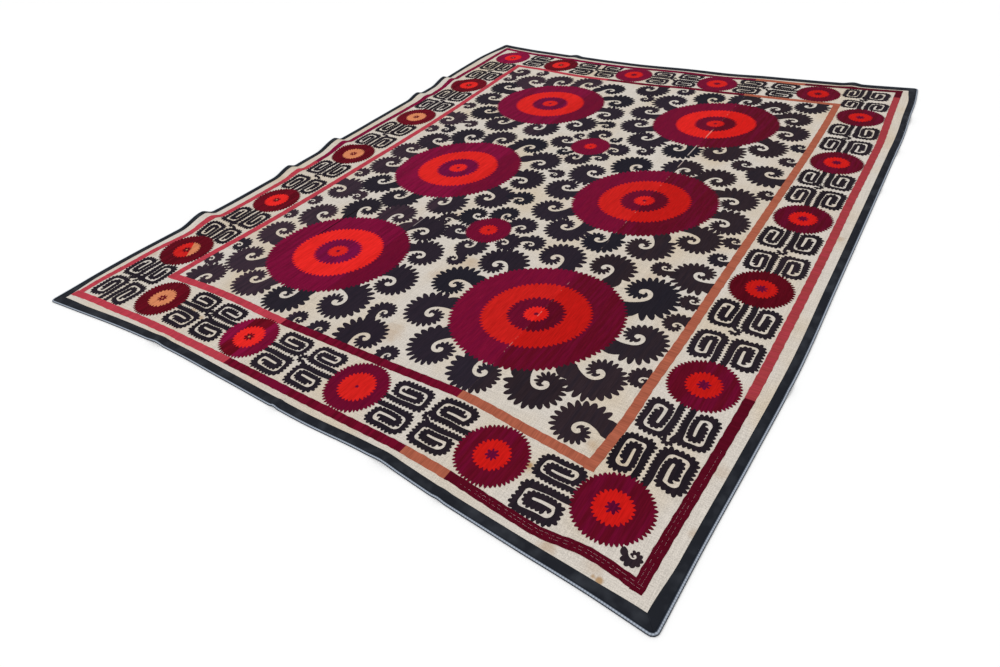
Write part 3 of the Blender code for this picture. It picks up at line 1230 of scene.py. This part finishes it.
def sunburst(
    middle: tuple[float, float],
    wide: float,
    deep: float,
    teeth: int,
    depth: float,
    chance: np.random.Generator,
    steps: int = 6,
) -> np.ndarray:
    """A toothed ring's loop: an ellipse whose radius gains depth * (0.42 - |2p - 1|^1.7), where p
    runs from 0 to 1 over each rounded tooth, with the hand's unevenness in each tooth.

    Args:
        middle: the ring's middle.
        wide: half its width.
        deep: half its depth.
        teeth: how many teeth it has.
        depth: how deep each is, in metres.
        chance: the hand's unevenness.
        steps: points for each tooth.

    Returns:
        The loop's points.
    """
    phase = np.arange(teeth * steps) / steps
    which = phase.astype(int)
    sway = 0.10 * chance.standard_normal(teeth + 1)
    sway[-1] = sway[0]
    share = phase - which
    angle = (phase + sway[which] * (1 - share) + sway[which + 1] * share) * 2 * math.pi / teeth
    tall = depth * (1 + 0.15 * chance.standard_normal(teeth)[which])
    gain = tall * (0.42 - np.abs(2 * share - 1) ** 1.7)
    slow = 1 + 0.006 * np.sin(3 * angle + chance.random() * 6) + 0.004 * np.sin(5 * angle + 1)
    x = middle[0] + (wide * slow + gain) * np.cos(angle)
    y = middle[1] + (deep * slow + gain) * np.sin(angle)
    return np.stack([x, y], 1)


class Rosettes:
    """The great rosettes of the field and the small ones of the field and border."""

    GREAT = table(
        Great,
        (-359, 675, 249, 230, 0.012), (-365, -35, 245, 243, 0.035), (-374, -706, 244, 226, 0.033),
        (403, 725, 243, 231, 0.052), (406, 23, 242, 234, 0.047), (399, -687, 244, 234, 0.041),
    )
    RINGS = {
        "great_rims": Ring(1.00, 96, 0.0110, 0.00105, Dye.MAGENTA),
        "great_red_rings": Ring(0.632, 70, 0.0105, 0.00125, Dye.RED),
        "great_plum_rings": Ring(0.330, 36, 0.0120, 0.00140, Dye.PLUM),
        "great_hearts": Ring(0.143, 20, 0.0080, 0.00155, Dye.RED),
        "great_dots": Ring(0.030, 8, 0.0025, 0.00170, Dye.PLUM),
    }
    SMALL = table(
        Small,
        (28, 340, 78.5, 25, BRIGHT), (16, -372, 78.5, 31, BRIGHT), (-890.6, 1176, 93, 46, BRIGHT),
        (-879, 744, 92, 46, DARK), (-873, 314, 92, 46, PALE), (-875, -110, 92, 46, PALE),
        (-870, -547, 91, 46, DARK), (-891, -946, 93, 46, DARK), (-707, -1167, 86.5, 43, PALE),
        (-285, -1159, 86.5, 46.5, MIXED), (143, -1155, 87.5, 51, STARRED),
        (575, -1165, 87.5, 44, STARRED), (870, -1155, 87.5, 44, STARRED),
        (903, -735, 87.5, 44, STARRED), (905, -299, 87.5, 43, DARK_STARRED),
        (906, 122, 88.5, 43, STARRED), (909, 553, 88.5, 43, STARRED), (899, 984, 86.5, 43, STARRED),
        (-575, 1154, 88.5, 46, DARK), (-155, 1140, 88.5, 44, BRIGHT), (255, 1155, 89.5, 46, BRIGHT),
        (692, 1178, 87.5, 43, BRIGHT),
    )
    SILKS = (Dye.MAGENTA, Dye.OXBLOOD, Dye.RED, Dye.PEACH, Dye.PLUM, Dye.VIOLET)
    SLICED = SMALL[9]
    PLAIN = SMALL[10]
    WEDGED = SMALL[7]
    FIELD_REACH = 0.08
    DOTTED_UP_TO = -0.2
    RIM_LIFT, RING_LIFT, STAR_LIFT, DOT_LIFT = 0.00105, 0.00125, 0.00140, 0.00155
    PATCH_OVER, WEDGE_OVER = 0.00010, 0.00007
    POINTS = 8
    STAR, PLAIN_STAR = (0.0150, 0.0085), (0.0055, 0.0020)
    DOT = 0.0045
    RIM_TEETH = 52
    TEETH_PER_METRE = 560

    def build(self) -> None:
        """Builds each colour's rings as one piece, every ring a hair over the one round it."""
        chance = np.random.default_rng(SEED + 1)
        for name, ring in self.RINGS.items():
            work = Needlework(name)
            for great in self.GREAT:
                wide, deep = great.wide * ring.share, great.deep * ring.share
                middle = (great.x, great.y)
                loop = sunburst(middle, wide, deep, ring.teeth, ring.depth, chance)
                loop = loop + great.pull * (loop - middle)[:, ::-1]
                work.add(loop, ring.lift)
            work.make(ring.dye)
        works = {dye: Needlework(f"small_rosettes_{dye.name.lower()}") for dye in self.SILKS}
        for small in self.SMALL:
            middle = (small.x, small.y)
            rim = sunburst(middle, small.reach, small.reach, self.RIM_TEETH, 0.0088, chance, 4)
            teeth = round(small.ring * self.TEETH_PER_METRE)
            ring = sunburst(middle, small.ring, small.ring, teeth, 0.0082, chance, 4)
            plain = small.reach < self.FIELD_REACH or small is self.PLAIN
            size, deep = self.PLAIN_STAR if plain else self.STAR
            star = sunburst(middle, size, size, self.POINTS, deep, chance, 4)
            works[small.silks.rim].add(rim, self.RIM_LIFT)
            works[small.silks.ring].add(ring, self.RING_LIFT)
            works[small.silks.heart].add(star, self.STAR_LIFT)
            if small.x < self.DOTTED_UP_TO:
                dot = sunburst(middle, self.DOT, self.DOT, 6, 0.0010, chance, 2)
                works[Dye.PEACH].add(dot, self.DOT_LIFT)
            if small is self.SLICED:
                off = rim[:, 0] - small.x
                slice_of_rim = rim[(off > -0.050) & (off < 0.023)]
                works[Dye.OXBLOOD].add(slice_of_rim, self.RIM_LIFT + self.PATCH_OVER)
            if small is self.WEDGED:
                off = ring - middle
                wedge = ring[off[:, 0] + 0.7 * off[:, 1] > 0.014]
                works[Dye.PEACH].add(wedge, self.RING_LIFT + self.WEDGE_OVER)
        for dye, work in works.items():
            work.make(dye)


class Pair(NamedTuple):
    """Two scrolls whose stems run side by side from a rosette or stripe: where they start, which
    way they run, how far, and how wide the scroll on each side of the middle line is."""

    x: Length
    y: Length
    way: Way
    length: Length
    plus: Length
    minus: Length


class Corner(NamedTuple):
    """A corner of a scroll's edge: along its stem, across from it, and how round it is."""

    along: Length
    across: Length
    radius: Length


class Hook(NamedTuple):
    """A small lobed curl between scrolls: the middle of its eye and the heading of its tail."""

    x: Length
    y: Length
    tail: float


class Scrolls:
    """The border's toothed scrolls: squared spirals in facing pairs, with a hook between groups."""

    LIFT = 0.00080
    LENGTH = 0.120
    WIDTH = 0.092
    GAP = 0.0022
    STEP = 0.0018
    WALL_STEP = 0.0030
    BAR_MIDDLE = np.array([0.064, 0.046])
    BAR_LIMIT = (0.0995, 0.0700)
    BAR_SIZES = {Way.LEFT: 1.08, Way.RIGHT: 1.08, Way.NEAR: 1.05, Way.FAR: 1.05}
    STEM = table(Corner, (-14, 5, 0), (80, 5, 0))
    RIM = table(
        Corner,
        (80, 5, 0), (113.5, 5, 21), (113.5, 86, 23), (-2, 86, 24), (10, 30, 8), (36, 25.2, 0),
    )
    BAR = table(
        Corner,
        (36, 25.2, 0), (91.8, 28.6, 18), (91.8, 63.5, 18), (39, 62.8, 0),
    )
    WALL = table(
        Corner,
        (37, 61.5, 0), (38.5, 50.5, 2), (30, 61.5, 1), (24.2, 53.5, 7), (26.5, 46.2, 6),
        (78, 46, 3), (78, 39.5, 3), (23.5, 37.8, 2.5), (18.5, 52, 8), (18.5, 71.5, 14),
        (101, 71.5, 13), (101, 22.5, 12), (36, 20.5, 20), (-14, 19.5, 0),
    )
    PAIRS = table(
        Pair,
        (-617, -1155, Way.RIGHT, 116, 83, 87), (-372, -1153, Way.LEFT, 120, 78, 87),
        (-199, -1156, Way.RIGHT, 120, 78, 87), (50, -1155, Way.LEFT, 115, 77, 85),
        (230, -1153.5, Way.RIGHT, 122, 83, 83), (483, -1152.5, Way.LEFT, 120, 87, 82),
        (790, -1172, Way.LEFT, 119, 77, 95), (-900, -1033, Way.NEAR, 112, 97, 93),
        (-895, -1264, Way.FAR, 113, 95, 95), (886.5, -1068, Way.FAR, 119, 98, 88),
        (899, -823, Way.NEAR, 117, 87, 92), (904, -648, Way.FAR, 120, 94, 89),
        (905, -382, Way.NEAR, 125, 91, 91), (906, -218, Way.FAR, 117, 90, 90),
        (901, 40, Way.NEAR, 121, 94, 86), (906, 213, Way.FAR, 126, 91, 91),
        (903, 468, Way.NEAR, 117, 94, 85), (905, 644, Way.FAR, 122, 91, 87),
        (903, 898, Way.NEAR, 115, 92, 88), (887, 1068, Way.FAR, 90, 93, 87),
        (866, 1278, Way.NEAR, 100, 98, 82), (-882, -865, Way.FAR, 100, 90, 85),
        (-872, -635, Way.NEAR, 118, 90, 93), (-870, -463, Way.FAR, 118, 93, 88),
        (-872, -200, Way.NEAR, 122, 88, 90), (-880, -24, Way.FAR, 118, 95, 88),
        (-880, 230, Way.NEAR, 122, 95, 86), (-882, 402, Way.FAR, 120, 97, 92),
        (-877, 660, Way.NEAR, 125, 92, 92), (-893, 832, Way.FAR, 120, 100, 90),
        (-897, 1092, Way.NEAR, 124, 95, 92), (-665, 1175, Way.LEFT, 125, 85, 85),
        (-486, 1148, Way.RIGHT, 120, 78, 88), (-243, 1146, Way.LEFT, 105, 88, 82),
        (-69, 1142, Way.RIGHT, 108, 88, 78), (170, 1158, Way.LEFT, 112, 83, 88),
        (343, 1164, Way.RIGHT, 120, 90, 85), (603, 1170, Way.LEFT, 118, 90, 85),
    )
    HOOKS = table(
        Hook,
        (-494, -1143, -32), (-70, -1148, -38), (372, -1143, -60), (-897, -1141, 190),
        (896, -936, 60), (902, -510, 115), (903, -92, 80), (898, 350, 130), (895, 775, 130),
        (874, 1172, 100), (-878, -752, -30), (-872, -324, -35), (-880, 106, -35), (-880, 530, -40),
        (-894, 960, -40), (-358, 1152, -60), (44, 1154, -60), (472, 1174, -60),
    )

    def path(self, corners: list[Corner], step: float) -> np.ndarray:
        """A line through corners, each rounded by an arc of its own radius.

        Args:
            corners: the corners; the first and last are the line's ends.
            step: the distance between points.

        Returns:
            The line's points, a step apart.
        """
        made = [np.array(corners[0][:2])[None]]
        for before, here, after in zip(corners, corners[1:], corners[2:]):
            at = np.array(here[:2])
            back = np.array(before[:2]) - at
            on = np.array(after[:2]) - at
            back = back / np.linalg.norm(back)
            on = on / np.linalg.norm(on)
            half = math.acos(float(np.clip(back @ on, -1, 1))) / 2
            reach = here[2] / math.tan(half)
            middle = at + (back + on) / np.linalg.norm(back + on) * here[2] / math.sin(half)
            start = at + back * reach - middle
            sweep = math.pi - 2 * half
            side = np.sign(back[0] * on[1] - back[1] * on[0])
            angle = -side * np.linspace(0, sweep, max(3, int(here[2] * sweep / step) + 1))
            cos, sin = np.cos(angle), np.sin(angle)
            arc = np.stack([start[0] * cos - start[1] * sin, start[0] * sin + start[1] * cos], 1)
            made.append(arc + middle)
        made.append(np.array(corners[-1][:2])[None])
        line = np.concatenate(made)
        gone = gone_along(line)
        return read_off(line, gone, np.linspace(0, gone[-1], max(2, round(gone[-1] / step))))

    def teeth(
        self, line: np.ndarray, pitch: float, depth: float, chance: np.random.Generator
    ) -> np.ndarray:
        """Sets pointed teeth on the right of a line: depth * (1 - |2p - 1|^1.8) for p over a tooth.

        Args:
            line: points close together.
            pitch: the teeth's spacing.
            depth: how far they stand out.
            chance: the hand's unevenness.

        Returns:
            The toothed line, four points to a tooth.
        """
        gone = gone_along(line)
        count = max(1, round(gone[-1] / pitch))
        line = read_off(line, gone, np.linspace(0, gone[-1], count * 4 + 1))
        phase = np.arange(count * 4 + 1) / 4
        which = np.minimum(phase.astype(int), count - 1)
        tall = depth * (1 + 0.16 * chance.standard_normal(count)[which])
        out = tall * (1 - np.abs(2 * (phase - which) - 1) ** 1.8)
        return line + to_right(unit(np.gradient(line, axis=0))) * out[:, None]

    def outline(self, bar_size: float, chance: np.random.Generator) -> np.ndarray:
        """One scroll in its own sizes: it starts at the origin, its stem runs along X beside the
        middle line, and it winds outwards along Y and back over itself to an inner bar. The teeth
        stop 1.5 mm short of the slit's far wall.

        Args:
            bar_size: the inner bar's size; a bigger one leaves a thinner slit.
            chance: the hand's unevenness.

        Returns:
            The loop's points.
        """
        edge = self.teeth(self.path(self.STEM, self.STEP), 0.0108, 0.0050, chance)
        rim = self.teeth(self.path(self.RIM, self.STEP), 0.0118, 0.0068, chance)
        bar = self.BAR_MIDDLE + (self.path(self.BAR, self.STEP) - self.BAR_MIDDLE) * bar_size
        bar = np.minimum(self.teeth(bar, 0.0110, 0.0050, chance), self.BAR_LIMIT)
        end = np.concatenate([rim[1:], bar[1:]])
        s, t = end.T
        wall = 0.0205 + 0.031 * np.maximum(s - 0.036, -0.03)
        facing = (t > 0.012) & (t < 0.032) & (s < 0.1)
        end = np.stack([s, np.where(facing, np.maximum(t, wall + 0.0015), t)], 1)
        loop = np.concatenate([edge, end, self.path(self.WALL, self.WALL_STEP)])
        s, t = loop.T
        sway = chance.random(2) * 6
        s = s + 0.0012 * np.sin(2 * math.pi * t / 0.075 + sway[0])
        t = t + 0.0010 * np.sin(2 * math.pi * s / 0.080 + sway[1])
        return np.stack([s, t], 1)

    def ring(self, hook: Hook) -> np.ndarray:
        """A hook's loop: six lobes, where the radius is 12.5 mm + 5.5 mm * |sin 3a|, then out and
        back along its tail, then round its open eye.

        Args:
            hook: its place and heading.

        Returns:
            The loop's points.
        """
        share = np.linspace(0, 1, 37)
        lobes = 0.0125 + 0.0055 * np.abs(np.sin(share * 6 * math.pi))
        tail = [0.0200, 0.0330, 0.0390, 0.0350, 0.0210, 0.0110]
        reach = np.concatenate([lobes, tail, np.full(12, 0.0036)])
        eye = 18 - np.linspace(0, 1, 12) * 290
        turn = np.concatenate([66 + share * 262, [-17, -10, 0, 9, 15, 18], eye])
        angle = np.radians(hook.tail + turn)
        return np.stack([hook.x + reach * np.cos(angle), hook.y + reach * np.sin(angle)], 1)

    def build(self) -> None:
        """Builds the scrolls as a piece for each side of the border, and the hooks as another."""
        chance = np.random.default_rng(SEED + 2)
        works = {Way.RIGHT: Needlework("scrolls_rows"), Way.FAR: Needlework("scrolls_columns")}
        for pair in self.PAIRS:
            along = np.array(pair.way.value, float)
            flat = pair.way in (Way.RIGHT, Way.LEFT)
            aside = np.array([0.0, 1.0]) if flat else np.array([1.0, 0.0])
            work = works[Way.RIGHT if flat else Way.FAR]
            for side, width in ((1, pair.plus), (-1, pair.minus)):
                loop = self.outline(self.BAR_SIZES[pair.way], chance)
                run = loop[:, 0] * pair.length / self.LENGTH
                off = self.GAP + loop[:, 1] * (width - self.GAP) / self.WIDTH
                spot = np.array([pair.x, pair.y])
                loop = spot + run[:, None] * along + (side * off)[:, None] * aside
                work.add(loop, self.LIFT)
        for work in works.values():
            work.make(Dye.SCROLL)
        hooks = Needlework("scroll_hooks")
        for hook in self.HOOKS:
            hooks.add(self.ring(hook), self.LIFT + 0.00005)
        hooks.make(Dye.SCROLL)


class Line(NamedTuple):
    """A place along a stripe and where its middle is across it."""

    along: Length
    middle: Length


class Run(NamedTuple):
    """A length of a stripe in one silk."""

    stripe: str
    start: Length
    end: Length
    dye: Dye


class Row(NamedTuple):
    """A row of pale stitches on a stripe: where it starts and ends, and how far from the middle."""

    stripe: str
    start: Length
    end: Length
    off: Length


class Stripes:
    """The two frames of stripes, each side worked in lengths of different silks."""

    LIFT = 0.00090
    OVER = 0.00006
    HALF_STITCH = 0.0006
    FINE = 0.0085
    COARSE = 0.0120
    UPRIGHT = ("left_inner", "left_outer", "right_inner", "right_outer")
    INNER_WIDTHS = {"left": 0.027, "right": 0.027, "near": 0.027, "far": 0.024}
    OUTER_WIDTHS = {"left": 0.025, "right": 0.026, "near": 0.0255, "far": 0.025}
    LINES = {
        "left_inner": table(
            Line,
            (-1085, -790), (-1000, -787), (-900, -783), (-800, -773), (-700, -767), (-500, -760),
            (-200, -758), (300, -757), (500, -763), (700, -773), (900, -783), (1086, -790),
        ),
        "right_inner": table(
            Line,
            (-1095, 780), (-1020, 786), (-950, 791), (-870, 792), (-800, 791), (-730, 793),
            (-600, 796), (-500, 796), (100, 798), (700, 799), (900, 796), (1098, 789),
        ),
        "near_inner": table(
            Line,
            (-803, -1072), (-650, -1061), (-500, -1056), (-300, -1061), (-100, -1058), (100, -1054),
            (300, -1048), (400, -1045), (500, -1052), (600, -1063), (700, -1072), (791, -1081),
        ),
        "far_inner": table(
            Line,
            (-803, 1074), (-600, 1062), (-450, 1043), (-200, 1041), (0, 1045), (100, 1056),
            (300, 1063), (500, 1072), (700, 1083), (802, 1086),
        ),
        "left_outer": table(
            Line,
            (-1297, -1004), (-1200, -1008), (-1100, -1004), (-1000, -1001), (-900, -988),
            (-800, -981), (-600, -974), (-300, -974), (-100, -983), (100, -986), (400, -984),
            (600, -985), (700, -993), (800, -1004), (1000, -1005), (1200, -1010), (1312, -1011),
        ),
        "right_outer": table(
            Line,
            (-1297, 986), (-1200, 990), (-1000, 1000), (-730, 1011), (-400, 1014), (0, 1014),
            (300, 1011), (600, 1011), (800, 1009), (900, 1004), (1100, 994), (1322, 985),
        ),
        "near_outer": table(
            Line,
            (-1023, -1292), (-900, -1281), (-800, -1276), (-700, -1269), (-500, -1262), (0, -1257),
            (500, -1259), (700, -1276), (760, -1280), (870, -1270), (998, -1286),
        ),
        "far_outer": table(
            Line,
            (-1022, 1301), (-900, 1277), (-800, 1264), (-700, 1260), (-600, 1248), (-400, 1235),
            (-200, 1230), (-100, 1238), (0, 1246), (200, 1243), (300, 1248), (400, 1261),
            (600, 1270), (800, 1290), (997, 1311),
        ),
    }
    RUNS = table(
        Run,
        ("left_inner", -1085, 1086, Dye.ROSE), ("right_inner", -1095, 1098, Dye.SALMON),
        ("near_inner", -803, -248, Dye.ROSE), ("near_inner", -248, 395, Dye.MAROON),
        ("near_inner", 395, 791, Dye.SALMON), ("far_inner", -803, -248, Dye.ROSE),
        ("far_inner", -248, 408, Dye.MAROON), ("far_inner", 408, 802, Dye.SALMON),
        ("left_outer", -1297, -230, Dye.ROSE), ("left_outer", -230, 1312, Dye.MAGENTA),
        ("right_outer", -1297, -730, Dye.MAROON), ("right_outer", -730, 1240, Dye.ROSE),
        ("right_outer", 1240, 1322, Dye.MAROON), ("near_outer", -1023, -260, Dye.ROSE),
        ("near_outer", -260, -120, Dye.MAROON), ("near_outer", -120, -5, Dye.MAGENTA),
        ("near_outer", -5, 385, Dye.MAROON), ("near_outer", 385, 520, Dye.SALMON),
        ("near_outer", 520, 998, Dye.MAROON), ("far_outer", -1022, 400, Dye.MAGENTA),
        ("far_outer", 400, 615, Dye.SALMON), ("far_outer", 615, 997, Dye.MAROON),
    )
    ROWS = table(
        Row,
        ("near_outer", 600, 985, 4), ("near_outer", 560, 985, -3), ("right_outer", -1280, -900, 3),
        ("right_outer", -1280, -1060, -5),
    )

    @classmethod
    def inside(cls, loop: np.ndarray) -> np.ndarray:
        """Ends a loop at the middle lines of the inner frame's stripes, under which it starts.

        Args:
            loop: points of the loop.

        Returns:
            The loop held within the frame.
        """
        x, y = loop.T
        low, high = (through(cls.LINES[side], y) for side in ("left_inner", "right_inner"))
        near, far = (through(cls.LINES[side], x) for side in ("near_inner", "far_inner"))
        return np.stack([np.clip(x, low, high), np.clip(y, near, far)], 1)

    def outline(self, run: Run, chance: np.random.Generator) -> np.ndarray:
        """A length of stripe: its middle line, half its width to each side, and a slight wander of
        each edge, the sum of two waves 45 and 23 mm long.

        Args:
            run: the stripe and where the length starts and ends.
            chance: the hand's unevenness.

        Returns:
            The loop's points.
        """
        side, frame_of = run.stripe.split("_")
        width = (self.INNER_WIDTHS if frame_of == "inner" else self.OUTER_WIDTHS)[side]
        step = self.FINE if side == "left" else self.COARSE
        along = np.linspace(run.start, run.end, max(3, round((run.end - run.start) / step)))
        middle = through(self.LINES[run.stripe], along)
        edges = []
        for way in (1, -1):
            slow = np.sin(along * 2 * math.pi / 0.045 + chance.random() * 6)
            quick = np.sin(along * 2 * math.pi / 0.023 + chance.random() * 6)
            edges.append(middle + way * (width / 2 + 0.0006 * slow + 0.0004 * quick))
        s = np.concatenate([along, along[::-1]])
        t = np.concatenate([edges[1], edges[0][::-1]])
        return np.stack([t, s] if run.stripe in self.UPRIGHT else [s, t], 1)

    def build(self) -> None:
        """Builds the lengths of each silk as one piece."""
        chance = np.random.default_rng(SEED + 3)
        works: dict[Dye, Needlework] = {}
        for run in self.RUNS:
            upright = run.stripe in self.UPRIGHT
            work = works.setdefault(run.dye, Needlework(f"stripes_{run.dye.name.lower()}"))
            lift = self.LIFT + (self.OVER if upright else 0)
            work.add(self.outline(run, chance), lift, 0.5, upright)
        for dye, work in works.items():
            work.make(dye)
        self.stitches(chance)

    def stitches(self, chance: np.random.Generator) -> None:
        """Builds the pale couching stitches that show in broken rows on two maroon lengths.

        Args:
            chance: the hand's unevenness.
        """
        work = Needlework("stripe_stitches")
        for row in self.ROWS:
            upright = row.stripe in self.UPRIGHT
            at = row.start
            while at < row.end:
                long = 0.004 + 0.008 * chance.random()
                s = at + np.array([0, long, long, 0])
                t = through(self.LINES[row.stripe], s) + row.off
                t = t + np.array([-1, -1, 1, 1]) * self.HALF_STITCH
                loop = np.stack([t, s] if upright else [s, t], 1)
                work.add(loop, self.LIFT + 0.00015, turned=upright)
                at += long + 0.002 + 0.010 * chance.random() ** 2
        work.make(Dye.THREAD)


@dataclass(frozen=True)
class Studio:
    """The pale floor, the soft light and the camera."""

    lens: float = 23.29
    eye: tuple = (1.201, -1.873, 1.148)
    ahead: tuple = (-0.4755, 0.5999, -0.6435)
    right: tuple = (0.8262, 0.5558, -0.0924)
    floor: float = 30.0
    sunk: float = 0.0004
    sky: float = 0.80
    sun: float = 1.10

    def camera(self) -> None:
        """The photograph's viewpoint."""
        data = bpy.data.cameras.new("camera")
        data.sensor_width = 36
        data.lens = self.lens
        data.clip_start = 0.01
        camera = put("camera", data)
        ahead, right = Vector(self.ahead).normalized(), Vector(self.right)
        right = (right - ahead * right.dot(ahead)).normalized()
        up = right.cross(ahead)
        turn = Matrix((right, up, -ahead)).transposed().to_4x4()
        camera.matrix_world = Matrix.Translation(self.eye) @ turn
        bpy.context.scene.camera = camera

    def lights(self) -> None:
        """An even white sky and one broad lamp high on the left, for soft shading of the folds."""
        world = bpy.data.worlds.new("studio_sky")
        bpy.context.scene.world = world
        world.use_nodes = True
        sky = world.node_tree.nodes["Background"]
        sky.inputs["Color"].default_value = (1, 1, 1, 1)
        sky.inputs["Strength"].default_value = self.sky
        lamp = bpy.data.lights.new("broad_lamp", "SUN")
        lamp.energy = self.sun
        lamp.angle = math.radians(35)
        put("broad_lamp", lamp).rotation_euler = (math.radians(28), math.radians(-30), 0)
        bpy.context.scene.view_settings.view_transform = "Standard"

    def ground(self) -> None:
        """The plain pale floor, just under the cloth."""
        half = self.floor / 2
        signs = ((-1, -1), (1, -1), (1, 1), (-1, 1))
        mesh = bpy.data.meshes.new("floor")
        mesh.from_pydata([(x * half, y * half, -self.sunk) for x, y in signs], [], [(0, 1, 2, 3)])
        mesh.materials.append(Graph("pale_floor").dress((0.95, 0.95, 0.95, 1), 0.9, 0.1))
        floor = put("floor", mesh)

    def build(self) -> None:
        """Sets up the whole studio."""
        self.camera()
        self.lights()
        self.ground()


def main() -> None:
    """Builds the studio, the cloth and its needlework."""
    logging.basicConfig(level=logging.INFO, format="%(name)s %(message)s")
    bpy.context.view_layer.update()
    Studio().build()
    Cotton().build()
    Border().build()
    Stripes().build()
    Leaves().build()
    Scrolls().build()
    Rosettes().build()


if __name__ == "__main__":
    main()
